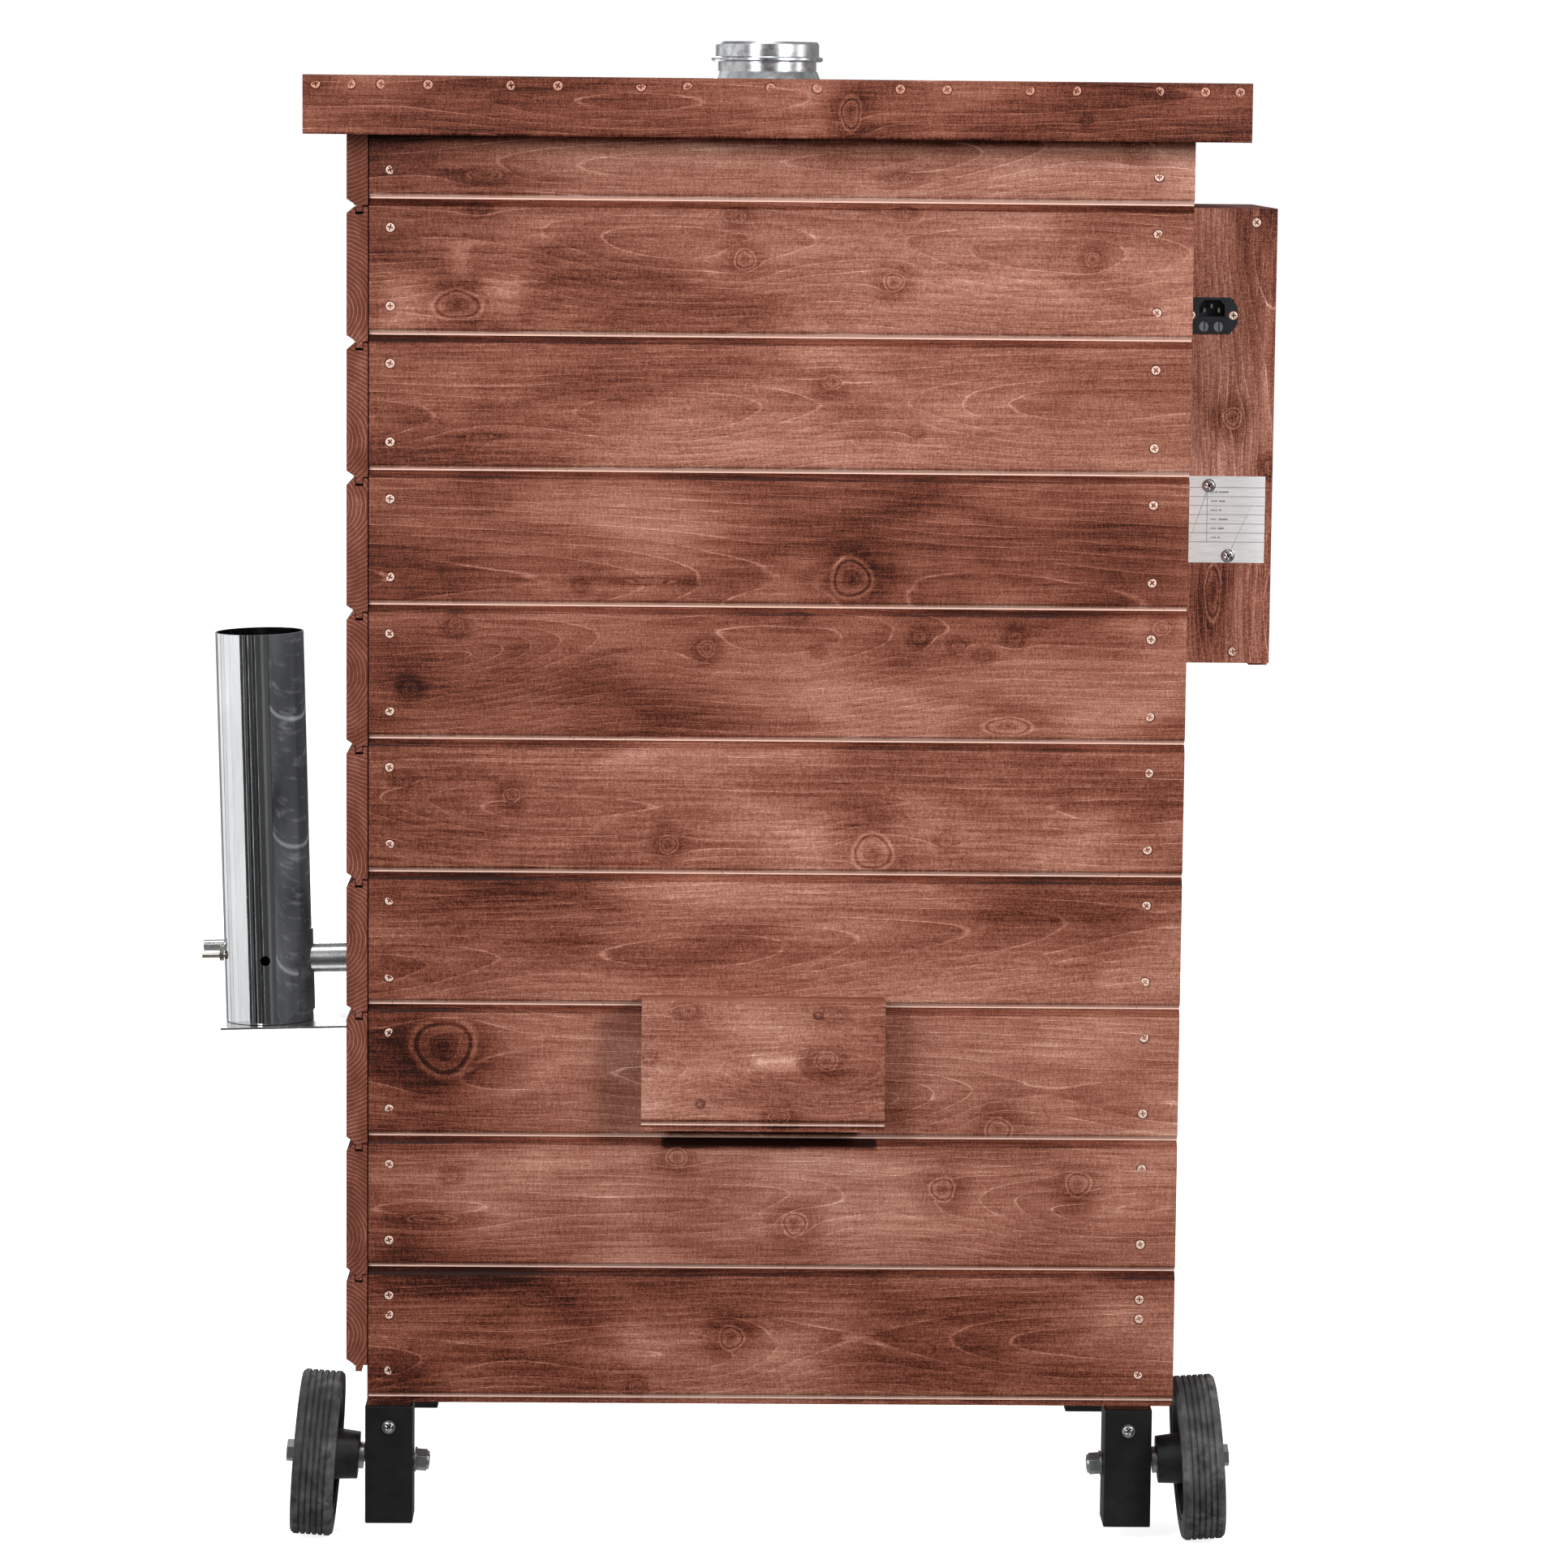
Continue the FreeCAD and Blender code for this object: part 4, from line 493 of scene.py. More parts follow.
def vee_profile(tall, thick, groove=True, gap=0.6 * MM):
    """A tongue-and-groove board's section as (width, depth), in metres.

    The chamfers end in a narrow flat, where the joint shows a painted highlight line."""
    vee_tall, vee_deep, ease, flat = 6 * MM, 7 * MM, 0.8 * MM, 1.3 * MM
    tongue_out, tongue_in, tongue_long = 9 * MM, 15 * MM, 6 * MM
    top = tall - gap if groove else tall
    points = [(vee_tall + ease, 0), (vee_tall - 0.2 * MM, ease * 0.4), (flat, vee_deep),
              (0, vee_deep), (0, tongue_out), (-tongue_long, tongue_out),
              (-tongue_long, tongue_in), (0, tongue_in), (0, thick), (top, thick)]
    if groove:
        play, floor = 0.6 * gap, top - tongue_long - 1 * MM
        points += [(top, tongue_in + play), (floor, tongue_in + play),
                   (floor, tongue_out - play), (top, tongue_out - play), (top, vee_deep),
                   (top - vee_tall + 0.2 * MM, ease * 0.4), (top - vee_tall - ease, 0)]
    else:
        points += [(top, ease), (top - ease, 0)]
    return points[::-1]


def plain_profile(tall, thick, ease=1.0 * MM):
    return [(ease, 0), (0, ease), (0, thick), (tall, thick), (tall, ease), (tall - ease, 0)][::-1]


def boards(name, planks, face, body, node, windows=()):
    """Join planks into one piece that stands for a CAD node. No face is made in a window."""
    parts = [plank.build(grain) for plank, grain in planks]
    points, faces, slots = [], [], []
    board, grain = [], []
    start = 0
    for verts, quads, where, fields, end_verts, caps, end_where in parts:
        points += [verts, end_verts]
        board += [where, end_where]
        grain += [fields, np.zeros((len(end_verts), 3))]
        middles = verts[quads].mean(axis=1)
        for first, last in windows:
            keep = ~np.all((middles > np.array(first)) & (middles < np.array(last)), axis=1)
            quads, middles = quads[keep], middles[keep]
        faces += (quads + start).tolist()
        slots += [0] * len(quads)
        start += len(verts)
        for cap in caps:
            faces.append([index + start for index in cap])
            slots.append(1)
        start += len(end_verts)
    mesh = bpy.data.meshes.new(name)
    mesh.from_pydata(np.concatenate(points).tolist(), [], faces)
    mesh.polygons.foreach_set("material_index", slots)
    for key, values in (("board", board), ("grain", grain)):
        layer = mesh.attributes.new(key, "FLOAT_VECTOR", "POINT")
        layer.data.foreach_set("vector", np.concatenate(values).astype("f4").ravel())
    mesh.materials.append(face)
    mesh.materials.append(ENDS)
    return settle(name, mesh, body, "timber", node)


def settle(name, mesh, body, slot, *nodes):
    """Put a mesh in the scene as a piece that rides on a body and stands for CAD nodes."""
    piece = bpy.data.objects.new(name, mesh)
    bpy.context.scene.collection.objects.link(piece)
    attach(piece, body)
    if nodes:
        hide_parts(*nodes)
    return piece


# ---- other materials ----

def flat_paint(name, colour, rough, metal=0.0, specular=0.5, speckle=0.0, dust=None):
    """One colour with a fine uneven surface, and dust lying on it where asked."""
    g = Graph(name)
    place = g.place()
    fine = g.noise(place, 900.0, 2.0, 0.6)
    broad = g.noise(place, 9.0, 3.0, 0.55)
    shade = g.mix(g.span(broad, 0.3, 0.7, 0.0, 0.35), colour,
                  tuple(min(1.0, c * 1.5 + 0.004) for c in colour[:3]) + (1.0,))
    if dust:
        powder = g.noise(place, 38.0, 4.0, 0.65)
        amount = g.times(g.span(powder, 0.42, 0.68), g.span(broad, 0.35, 0.65))
        shade = g.mix(g.times(amount, dust[1]), shade, dust[0])
    g.bump(fine, speckle, 0.0004)
    wear = g.span(g.noise(place, 55.0, 3.0, 0.6), 0.3, 0.7, rough - 0.06, rough + 0.08)
    return g.set(Base_Color=shade, Roughness=wear, Metallic=metal, specular=specular)


def bright_metal(name, colour, rough, scratch, stain):
    """Sheet or plated metal: faint brushing, smears and a little tarnish."""
    g = Graph(name)
    place = g.place()
    brushed = g.noise(g.scale(place, (700.0, 700.0, 700.0)), 1.0, 3.0, 0.7)
    smear = g.noise(place, 14.0, 4.0, 0.6, 0.5)
    dirt = g.noise(place, 70.0, 4.0, 0.7)
    dark = tuple(c * 0.55 for c in colour[:3]) + (1.0,)
    shade = g.mix(g.times(g.span(smear, 0.40, 0.72), stain), colour, dark)
    shade = g.mix(g.span(dirt, 0.62, 0.74, 0.0, stain), shade, dark)
    g.bump(brushed, scratch, 0.0002)
    wear = g.add(g.span(smear, 0.3, 0.7, rough - 0.05, rough + 0.10),
                 g.span(brushed, 0.3, 0.7, -0.03, 0.03))
    return g.set(Base_Color=shade, Roughness=wear, Metallic=1.0)


def grown_timber(name, axis, seed):
    """Timber by place in the object, for parts drawn from the CAD mesh as it is."""
    g = Graph(name)
    place = g.place()
    stretch = [26.0, 26.0, 26.0]
    stretch[axis] = 1.4
    moved = g.vector("ADD", place, (seed, seed * 1.7, seed * 0.6))
    rings = g.noise(g.scale(moved, tuple(stretch)), 1.0, 2.0, 0.45)
    wave = g.math("COSINE", g.times(rings, 60.0))
    line = g.math("POWER", g.math("MULTIPLY_ADD", wave, 0.5, 0.5), 2.5)
    thin = [600.0, 600.0, 600.0]
    thin[axis] = 12.0
    fibre = g.noise(g.scale(moved, tuple(thin)), 1.0, 3.0, 0.65)
    blotch = g.noise(moved, 7.0, 3.0, 0.55)
    value = g.add(g.times(line, 0.22),
                  g.add(g.span(fibre, 0.3, 0.7, 0.0, 0.16),
                        g.span(blotch, 0.3, 0.7, 0.10, 0.40)))
    colour = g.ramp(value, [(0.0, STAIN_DARK), (0.35, STAIN_DEEP), (0.7, STAIN_MID),
                            (1.0, STAIN_PALE)])
    g.bump(fibre, 0.2, 0.0006)
    return g.set(Base_Color=colour, Roughness=0.6, specular=0.3)


def gauge_dial(name, middle, axis_u, axis_v, radius):
    """A pale dial with plain scale ticks round its edge, drawn from place alone."""
    g = Graph(name)
    place = g.shift(g.place(), tuple(middle))
    dot_u = g.node("VectorMath", {0: place, 1: axis_u}, out=1, operation="DOT_PRODUCT")
    dot_v = g.node("VectorMath", {0: place, 1: axis_v}, out=1, operation="DOT_PRODUCT")
    reach = g.math("DIVIDE", g.math("SQRT", g.add(
        g.times(dot_u, dot_u), g.times(dot_v, dot_v))), radius)
    angle = g.math("ARCTAN2", dot_u, dot_v)
    start, end = math.radians(-130), math.radians(130)
    phase = g.math("DIVIDE", g.minus(angle, start), (end - start) / 24)
    off = g.size(g.minus(phase, g.math("ROUND", phase)))
    ink = g.math("LESS_THAN", g.times(off, reach), 0.10)
    ink = g.times(ink, g.between(reach, 0.72, 0.90))
    ink = g.times(ink, g.between(angle, start - 0.03, end + 0.03))
    colour = g.mix(ink, tone(232, 230, 222), tone(28, 28, 28))
    return g.set(Base_Color=colour, Roughness=0.35, specular=0.5)


def paint(material, *names):
    for name in names:
        mesh = NODES[name].data
        mesh.materials.clear()
        mesh.materials.append(material)
        for face in mesh.polygons:
            face.material_index = 0


# ---- timber pieces ----

FACE = timber("stained_face")
BOX_FACE = timber("stained_box_face", 0.04, 1.35)
ENDS = end_grain("stained_ends")

REAR_OUT = high("rear_wall_boards").y
REAR_LEFT = high("rear_wall_boards").x - 1.4 * MM
REAR_LONG = REAR_LEFT - low("rear_wall_boards").x
REAR_BASE = 145 * MM
THICK = 20 * MM
# The height given for a board with no upper chamfer: nothing on the board lies above half.
SQUARE_TOP = 9.0

# How much paler than usual a board is at its start and from a third of its length on.
REAR_LENGTH_TONE = (-0.17, 0.0)
EDGING_STAIN = (-0.19, -0.19)
COVER_STAIN = (0.07, 0.07)

# Patches on the rear boards by board number: painted shadow under the roof edging, under
# the vent cover and behind it, and paler stain beside a knot. Each is (along, up, half
# length, half height, soft edge, how much paler), the first five in millimetres.
REAR_SHADOW_AND_STAIN_PATCHES = {
    1: [(390, 80, 400, 10, 18, -0.9)],
    2: [(42, 32, 12, 12, 22, 0.20), (124, 34, 8, 12, 18, 0.20), (85, 70, 4, 12, 10, 0.14)],
    8: [(378, 8, 88, 6, 8, -0.5)],
    9: [(385, 127, 98, 4, 6, -0.8)],
}

# One entry for each rear board, top first: the height and depth of the pith line at the
# left end, how far both move by the right end, ring spacing, sway, and the knots as
# (along, up, half length, half height). Lengths are in millimetres, seen from behind.
REAR_GRAIN = [
    ((30, 34), (26, -14), 6.2, 5, [(109, 23, 15, 4), (501, 23, 9, 4), (724, 52, 7, 6)]),
    ((96, 22), (-6, 20), 6.8, 7, [(83, 29, 22, 13), (354, 74, 9, 9), (347, 114, 6, 5),
                                  (495, 54, 9, 8), (682, 77, 6, 6), (103, 120, 5, 4),
                                  (505, 120, 5, 4)]),
    ((44, 30), (34, 14), 4.6, 5, [(438, 87, 8, 6), (105, 33, 13, 2), (518, 41, 4, 4)]),
    ((28, 26), (-20, 24), 8.2, 6, [(458, 29, 18, 18), (266, 25, 24, 2), (201, 20, 4, 4)]),
    ((88, 16), (20, 20), 6.4, 8, [(83, 109, 6, 6), (39, 48, 6, 6), (321, 89, 7, 7),
                                  (523, 102, 5, 5), (560, 93, 5, 4), (584, 85, 5, 4),
                                  (614, 101, 5, 5), (754, 112, 7, 6), (609, 17, 22, 8),
                                  (426, 87, 4, 3), (407, 120, 5, 3)]),
    ((74, 30), (-10, -8), 6.6, 5, [(286, 29, 8, 8), (481, 23, 18, 17), (551, 35, 5, 5),
                                   (136, 75, 7, 6), (33, 89, 6, 4)]),
    ((40, 40), (44, 8), 5.0, 4, []),
    ((70, 20), (-26, 18), 7.2, 9, [(72, 88, 28, 26), (605, 11, 12, 10)]),
    ((60, 26), (6, -6), 5.6, 6, [(296, 110, 9, 8), (410, 45, 11, 11), (552, 80, 11, 11),
                                 (683, 86, 11, 11), (60, 48, 22, 4), (79, 90, 5, 4)]),
    ((34, 24), (30, 12), 6.0, 6, [(350, 61, 11, 11), (258, 12, 5, 5)]),
]


def grain(entry, seed, tall):
    pith, slope, spacing, wander, knots = entry
    return {"top": tall, "pith": (pith[0] * MM, pith[1] * MM),
            "slope": (slope[0] * MM, slope[1] * MM), "spacing": spacing * MM,
            "wander": wander * MM, "seed": seed,
            "knots": [tuple(value * MM for value in knot) for knot in knots]}


def chance_grain(seed, tall, long):
    """Grain drawn by chance, for a board whose knots have no set places."""
    rng = np.random.default_rng(1000 + seed)
    knots = []
    for _ in range(int(rng.integers(1, 5))):
        size = rng.uniform(4, 11)
        knots.append((rng.uniform(0.05, 0.95) * long / MM, rng.uniform(0.1, 0.9) * tall / MM,
                      size * rng.uniform(1.0, 1.5), size))
    return grain(((rng.uniform(20, 100), rng.uniform(16, 40)),
                  (rng.uniform(-30, 30), rng.uniform(-14, 22)), rng.uniform(5.0, 7.5),
                  rng.uniform(3, 7), knots), seed, tall)


def rear_wall():
    for row, entry in enumerate(REAR_GRAIN):
        base = REAR_BASE + PITCH * (9 - row)
        tall = PITCH if row else high("rear_wall_boards").z - base
        plank = Plank((REAR_LEFT, REAR_OUT, base), (-1, 0, 0), (0, 0, 1), (0, 1, 0),
                      REAR_LONG, vee_profile(tall, THICK, groove=row > 0), 2.8 * MM)
        lines = grain(entry, row + 1, tall)
        lines["stain"] = REAR_LENGTH_TONE
        lines["patches"] = REAR_SHADOW_AND_STAIN_PATCHES.get(row + 1, ())
        boards(f"rear_board_{row + 1}", [(plank, lines)], FACE, "cabinet", "rear_wall_boards")


def side_wall(name, node, side, inset, first_seed):
    """The wall on the +X side (1) or the -X side (-1): boards from the sill up."""
    a, b = low(node), high(node)
    start_x, start_y = (b.x - inset, b.y) if side > 0 else (a.x + inset, a.y)
    base, tall, long = 177 * MM, 89.5 * MM, b.y - a.y
    planks = []
    while base < b.z - MM:
        last = base + tall > b.z - MM
        height = b.z - base if last else tall
        seed = first_seed + len(planks)
        plank = Plank((start_x, start_y, base), (0, -side, 0), (0, 0, 1), (side, 0, 0), long,
                      vee_profile(height, THICK, groove=not last, gap=1.4 * MM), 7 * MM)
        planks.append((plank, chance_grain(seed, height, long)))
        base, tall = base + height, PITCH
    boards(name, planks, FACE, "cabinet", node)


def door_wall():
    node = "door_boards"
    low_corner, high_corner = low(node), high(node)
    base, tall = 153 * MM, 120 * MM
    planks = []
    while base < high_corner.z - MM:
        last = base + tall > high_corner.z - MM
        height = high_corner.z - base if last else tall
        plank = Plank((low_corner.x, low_corner.y, base), (1, 0, 0), (0, 0, 1), (0, -1, 0),
                      high_corner.x - low_corner.x,
                      vee_profile(height, THICK, groove=not last), 7 * MM)
        planks.append((plank, chance_grain(60 + len(planks), height, 0.78)))
        base, tall = base + height, PITCH
    boards("door_planks", planks, FACE, "door", node)


rear_wall()
side_wall("left_wall", "left_wall_boards", 1, 0.94 * MM, 20)
side_wall("right_wall", "right_wall_boards", -1, 0, 40)
door_wall()


def plain_plank(name, node, corner, along, across, out, size, seed, fine=5 * MM,
                entry=None, windows=(), face=None):
    """One square-edged board: size is (length, width, thickness)."""
    long, wide, thick = size
    plank = Plank(corner, along, across, out, long, plain_profile(wide, thick), fine)
    lines = grain(entry, seed, wide) if entry else chance_grain(seed, wide, long)
    lines["top"] = SQUARE_TOP
    boards(name, [(plank, lines)], face or FACE, "cabinet", node, windows)


def fascias():
    node = "roof_fascias"
    a, b = low(node), high(node)
    tall, long, deep = b.z - a.z, b.x - a.x, b.y - a.y
    rear = ((34, 26), (10, 6), 5.5, 3, [(510, 24, 9, 15), (730, 18, 3, 3)])
    planks = [
        ((b.x, b.y, a.z), (-1, 0, 0), (0, 1, 0), long, grain(rear, 81, tall), 3 * MM),
        ((a.x, a.y, a.z), (1, 0, 0), (0, -1, 0), long, chance_grain(82, tall, long), 7 * MM),
        ((b.x, a.y + THICK, a.z), (0, 1, 0), (1, 0, 0), deep - 2 * THICK,
         chance_grain(83, tall, deep), 7 * MM),
        ((a.x, b.y - THICK, a.z), (0, -1, 0), (-1, 0, 0), deep - 2 * THICK,
         chance_grain(84, tall, deep), 7 * MM)]
    made = []
    for corner, along, out, run, lines, fine in planks:
        lines["top"] = SQUARE_TOP
        lines["stain"] = EDGING_STAIN
        made.append((Plank(corner, along, (0, 0, 1), out, run,
                           plain_profile(tall, THICK, 1.6 * MM), fine), lines))
    boards("fascia_planks", made, FACE, "cabinet", node)


def around(node, margin):
    """The box of a CAD node, a little smaller across, where a board has its hole."""
    a, b = low(node), high(node)
    inset = Vector((margin, -0.03, margin))
    return a + inset, b - inset


def control_box():
    board_thick = 18 * MM
    a, b = low("control_box_rear_board"), high("control_box_rear_board")
    tall = b.z - a.z
    rear = ((104, 30), (-20, 10), 5.2, 3, [(238, 50, 9, 8), (70, 34, 26, 7), (190, 88, 6, 5)])
    plain_plank("box_rear", "control_box_rear_board", (b.x, b.y, a.z), (0, 0, 1), (-1, 0, 0),
                (0, 1, 0), (tall, b.x - a.x, board_thick), 85, fine=3 * MM, entry=rear,
                windows=[around("power_inlet", 2.5 * MM)], face=BOX_FACE)
    a, b = low("control_box_cover"), high("control_box_cover")
    plain_plank("box_cover", "control_box_cover", (a.x, b.y, a.z), (0, 0, 1), (0, -1, 0),
                (-1, 0, 0), (b.z - a.z, b.y - a.y, board_thick), 86)
    a, b = low("control_box_front_panel"), high("control_box_front_panel")
    plain_plank("box_front", "control_box_front_panel", (a.x, a.y, a.z), (0, 0, 1), (1, 0, 0),
                (0, -1, 0), (b.z - a.z, b.x - a.x, board_thick), 87)


def vent_cover():
    node = "vent_cover_board"
    a, b = low(node), high(node)
    tongue = 6 * MM
    tall = b.z - a.z - tongue
    entry = ((52, 15), (8, 3), 4.4, 3, [(176, 64, 10, 8), (44, 112, 6, 5), (132, 10, 9, 5),
                                        (8, 66, 4, 3), (181, 108, 7, 4)])
    profile = vee_profile(tall, THICK, groove=False)
    plank = Plank((b.x, b.y, a.z + tongue), (-1, 0, 0), (0, 0, 1), (0, 1, 0), b.x - a.x,
                  profile, 2.4 * MM)
    lines = grain(entry, 88, SQUARE_TOP)
    lines["stain"] = COVER_STAIN
    # A pale patch near the middle, and painted shade along the bottom chamfer.
    lines["patches"] = [(128, 62, 16, 3, 9, 0.22), (116, 2, 130, 3, 3, -0.35)]
    boards("vent_cover", [(plank, lines)], FACE, "cabinet", node)


fascias()
control_box()
vent_cover()


# ---- screws ----

def islands(node):
    """The separate solids of a CAD node, each as an array of its corner points."""
    shape = bmesh.new()
    shape.from_mesh(NODES[node].data)
    bmesh.ops.remove_doubles(shape, verts=shape.verts, dist=1e-6)
    shape.verts.ensure_lookup_table()
    seen, found = set(), []
    for vert in shape.verts:
        if vert.index in seen:
            continue
        stack, group = [vert], []
        seen.add(vert.index)
        while stack:
            here = stack.pop()
            group.append(here.co.copy())
            for edge in here.link_edges:
                other = edge.other_vert(here)
                if other.index not in seen:
                    seen.add(other.index)
                    stack.append(other)
        found.append(np.array(group))
    shape.free()
    return found


def screw_places(node):
    """Where each screw head is and which way it faces: (middle, direction)."""
    places = []
    for points in islands(node):
        low_corner, high_corner = points.min(0), points.max(0)
        sides = high_corner - low_corner
        axis = int(np.argmin([abs(sides[k - 1] - sides[k - 2]) for k in range(3)]))
        middle = (low_corner + high_corner) / 2
        near = 0.25 * sides[axis]
        span = [np.abs(points[points[:, axis] < low_corner[axis] + near] - middle),
                np.abs(points[points[:, axis] > high_corner[axis] - near] - middle)]
        others = [k for k in range(3) if k != axis]
        wide = [part[:, others].max() for part in span]
        short = sides[axis] < sides[others[0]]
        end = int(short) if wide[0] > wide[1] else 1 - int(short)
        direction = np.zeros(3)
        direction[axis] = 1.0 if end else -1.0
        middle[axis] = high_corner[axis] if end else low_corner[axis]
        places.append((Vector(middle), Vector(direction)))
    return places


def head_grid(radius, rings, segments, dome, cross):
    """A round head with a cross recess: rows of points from the middle outwards."""
    reach = np.concatenate([np.linspace(0.06, 0.66, rings - 3), [0.82, 0.96, 1.0]]) * radius
    angles = np.arange(segments) / segments * math.tau
    r, angle = np.meshgrid(reach, angles, indexing="ij")
    x, y = r * np.cos(angle), r * np.sin(angle)
    width = 0.155 * radius
    arm = np.minimum(np.abs(x), np.abs(y))
    inside = np.clip((width - arm) / (0.05 * radius), 0, 1)
    inside *= np.clip((0.60 * radius - r) / (0.08 * radius), 0, 1)
    z = dome * (1 - (r / radius) ** 2) - cross * inside * (1 - 0.5 * r / radius)
    z[-1] -= 0.12 * radius
    return np.stack([x, y, z], axis=-1), inside > 0.4


def screw_heads(name, node, radius, dome, metal, rim, seed, places, lift=0.03 * MM,
                stands=True):
    """Detailed heads at some places, which stand for a node's screws or add to them."""
    rings, segments = 9, 32
    grid, recess = head_grid(radius, rings, segments, dome, 0.5 * radius)
    middle = np.array([[0, 0, dome - 0.5 * radius]])
    crater = []
    for k, (share, height) in enumerate([(0.99, -0.02), (1.16, 0.018), (1.22, 0.0)]):
        turn = np.arange(segments) / segments * math.tau
        crater.append(np.stack([np.cos(turn) * radius * share, np.sin(turn) * radius * share,
                                np.full(segments, height * radius)], axis=-1))
    rows = list(grid) + crater
    local = np.concatenate([middle] + rows)
    ring = np.arange(segments)
    after = (ring + 1) % segments
    faces, slots = [], []
    for k in ring:
        faces.append([0, 1 + k, 1 + after[k]])
        slots.append(2)
    for row in range(len(rows) - 1):
        if row == rings - 1:
            continue
        first = 1 + row * segments
        quads = np.stack([first + ring, first + segments + ring, first + segments + after,
                          first + after], axis=-1)
        faces += quads.tolist()
        if row < rings - 1:
            dark = recess[row] & recess[row][after] & recess[row + 1] & recess[row + 1][after]
            slots += np.where(dark, 2, 0).tolist()
        else:
            slots += [1] * segments
    rng = np.random.default_rng(seed)
    points, all_faces, all_slots = [], [], []
    for middle, direction in places:
        turn = direction.to_track_quat("Z", "Y").to_matrix()
        turn = np.array(turn @ Matrix.Rotation(rng.uniform(0, math.tau), 3, "Z")
                        @ Matrix.Rotation(rng.normal(0, 0.05), 3, "X"))
        start = sum(len(block) for block in points)
        points.append(local @ turn.T + np.array(middle) + np.array(direction) * lift)
        all_faces += [[index + start for index in face] for face in faces]
        all_slots += slots
    mesh = bpy.data.meshes.new(name)
    mesh.from_pydata(np.concatenate(points).tolist(), [], all_faces)
    mesh.polygons.foreach_set("material_index", all_slots)
    mesh.materials.append(metal)
    mesh.materials.append(rim)
    mesh.materials.append(RECESS_SHADE)
    mesh.shade_smooth()
    return settle(name, mesh, "cabinet", "zinc", *([node] if stands else []))


SCREW_METAL = flat_paint("screw_metal", tone(240, 206, 190), 0.35, 0.35, 0.5, 0.1)
PLATE_METAL = bright_metal("plate_screw_metal", tone(226, 226, 228), 0.22, 0.1, 0.3)
SCREW_PAINTED = flat_paint("screw_stained", tone(196, 142, 122), 0.38, 0.2, 0.5, 0.1)
SCREW_SUNK = flat_paint("screw_sunk", tone(104, 58, 46), 0.38, 0.2, 0.5, 0.1)
# A dark ring round each screw head.
DARK_HEAD_RING = flat_paint("dark_head_ring", tone(84, 40, 28), 0.8, 0.0, 0.2, 0.5)
# The cross recess in each head is coloured dark: painted shade.
RECESS_SHADE = flat_paint("screw_recess_shade", tone(44, 18, 14), 0.7, 0.0, 0.2, 0.3)
screw_heads("wall_screw_heads", "wall_screws", 4.3 * MM, 0.15 * MM, SCREW_METAL, DARK_HEAD_RING, 5,
            screw_places("wall_screws"))
screw_heads("fascia_screw_heads", "fascia_screws", 4.4 * MM, 0.15 * MM, SCREW_PAINTED, DARK_HEAD_RING,
            6, screw_places("fascia_screws"))

plate_low, plate_high = low("rating_plate"), high("rating_plate")
plate_places, leg_places, cover_places, other_places = [], [], [], []
for spot, out in screw_places("trim_screws"):
    if spot.z < 0.2:
        leg_places.append((spot - out * 3 * MM, out))
    elif plate_low.x < spot.x < plate_high.x and plate_low.z < spot.z < plate_high.z:
        plate_places.append((Vector((spot.x, plate_high.y, spot.z)), out))
    elif spot.y > 0.3:
        cover_places.append((spot, out))
    else:
        other_places.append((spot, out))
screw_heads("trim_screw_heads", "trim_screws", 4.3 * MM, 0.15 * MM, SCREW_METAL, DARK_HEAD_RING, 7,
            other_places)
screw_heads("plate_screw_heads", "trim_screws", 5.2 * MM, 1.1 * MM, PLATE_METAL, PLATE_METAL,
            8, plate_places, 1.0 * MM, stands=False)
screw_heads("cover_screw_heads", "trim_screws", 4.3 * MM, 0.15 * MM, SCREW_SUNK, DARK_HEAD_RING, 10,
            cover_places, stands=False)
screw_heads("leg_screw_heads", "trim_screws", 5.4 * MM, 1.2 * MM, PLATE_METAL, PLATE_METAL,
            9, leg_places, 1.6 * MM, stands=False)


# ---- CAD parts as they are ----

BLACK_STEEL = flat_paint("powder_coat", tone(20, 20, 21), 0.46, 0.0, 0.3, 0.5,
                         (tone(84, 81, 78), 0.18))
BLACK_PLASTIC = flat_paint("black_moulding", tone(27, 27, 29), 0.40, 0.0, 0.45, 0.25,
                           (tone(110, 106, 102), 0.30))
GLOSS_PLASTIC = flat_paint("black_fitting", tone(34, 37, 41), 0.30, 0.0, 0.5, 0.1)
CAP_PLASTIC = flat_paint("fuse_cap_moulding", tone(112, 114, 116), 0.35, 0.0, 0.5, 0.1)
SHEET_STEEL = bright_metal("sheet_steel", tone(205, 205, 205), 0.26, 0.15, 0.22)
ZINC = bright_metal("zinc_plate", tone(214, 216, 218), 0.30, 0.25, 0.35)
NICKEL = bright_metal("nickel", tone(222, 214, 200), 0.18, 0.1, 0.2)
WOOL = flat_paint("mineral_wool", tone(196, 184, 140), 0.95, 0.0, 0.1, 1.0)
SILICONE = flat_paint("silicone", tone(150, 62, 48), 0.6, 0.0, 0.3, 0.1)
DULL_STEEL = bright_metal("dull_steel", tone(150, 150, 148), 0.42, 0.3, 0.4)

paint(BLACK_STEEL, "leg_sleeves", "hinge_plates_and_pins", "hinge_straps", "latch_keeper",
      "latch_handle")
paint(BLACK_PLASTIC, "wheel_rim_left", "wheel_rim_right", "thermostat_knob")
paint(GLOSS_PLASTIC, "power_inlet", "power_switch")
paint(CAP_PLASTIC, "fuse_cap_left", "fuse_cap_right")
paint(SHEET_STEEL, "chamber_lining", "door_inner_sheet", "rack_rails", "smoking_racks",
      "hanging_rods", "drip_tray", "ember_grate", "heater_terminal_plate",
      "temperature_probe", "ignition_stub", "smoke_pipe")
paint(DULL_STEEL, "heating_element")
paint(ZINC, "axle_bolts", "axle_nuts", "axle_washers")
paint(NICKEL, "air_nozzle", "inlet_pins")
paint(WOOL, "chamber_insulation")
paint(SILICONE, "door_seal")
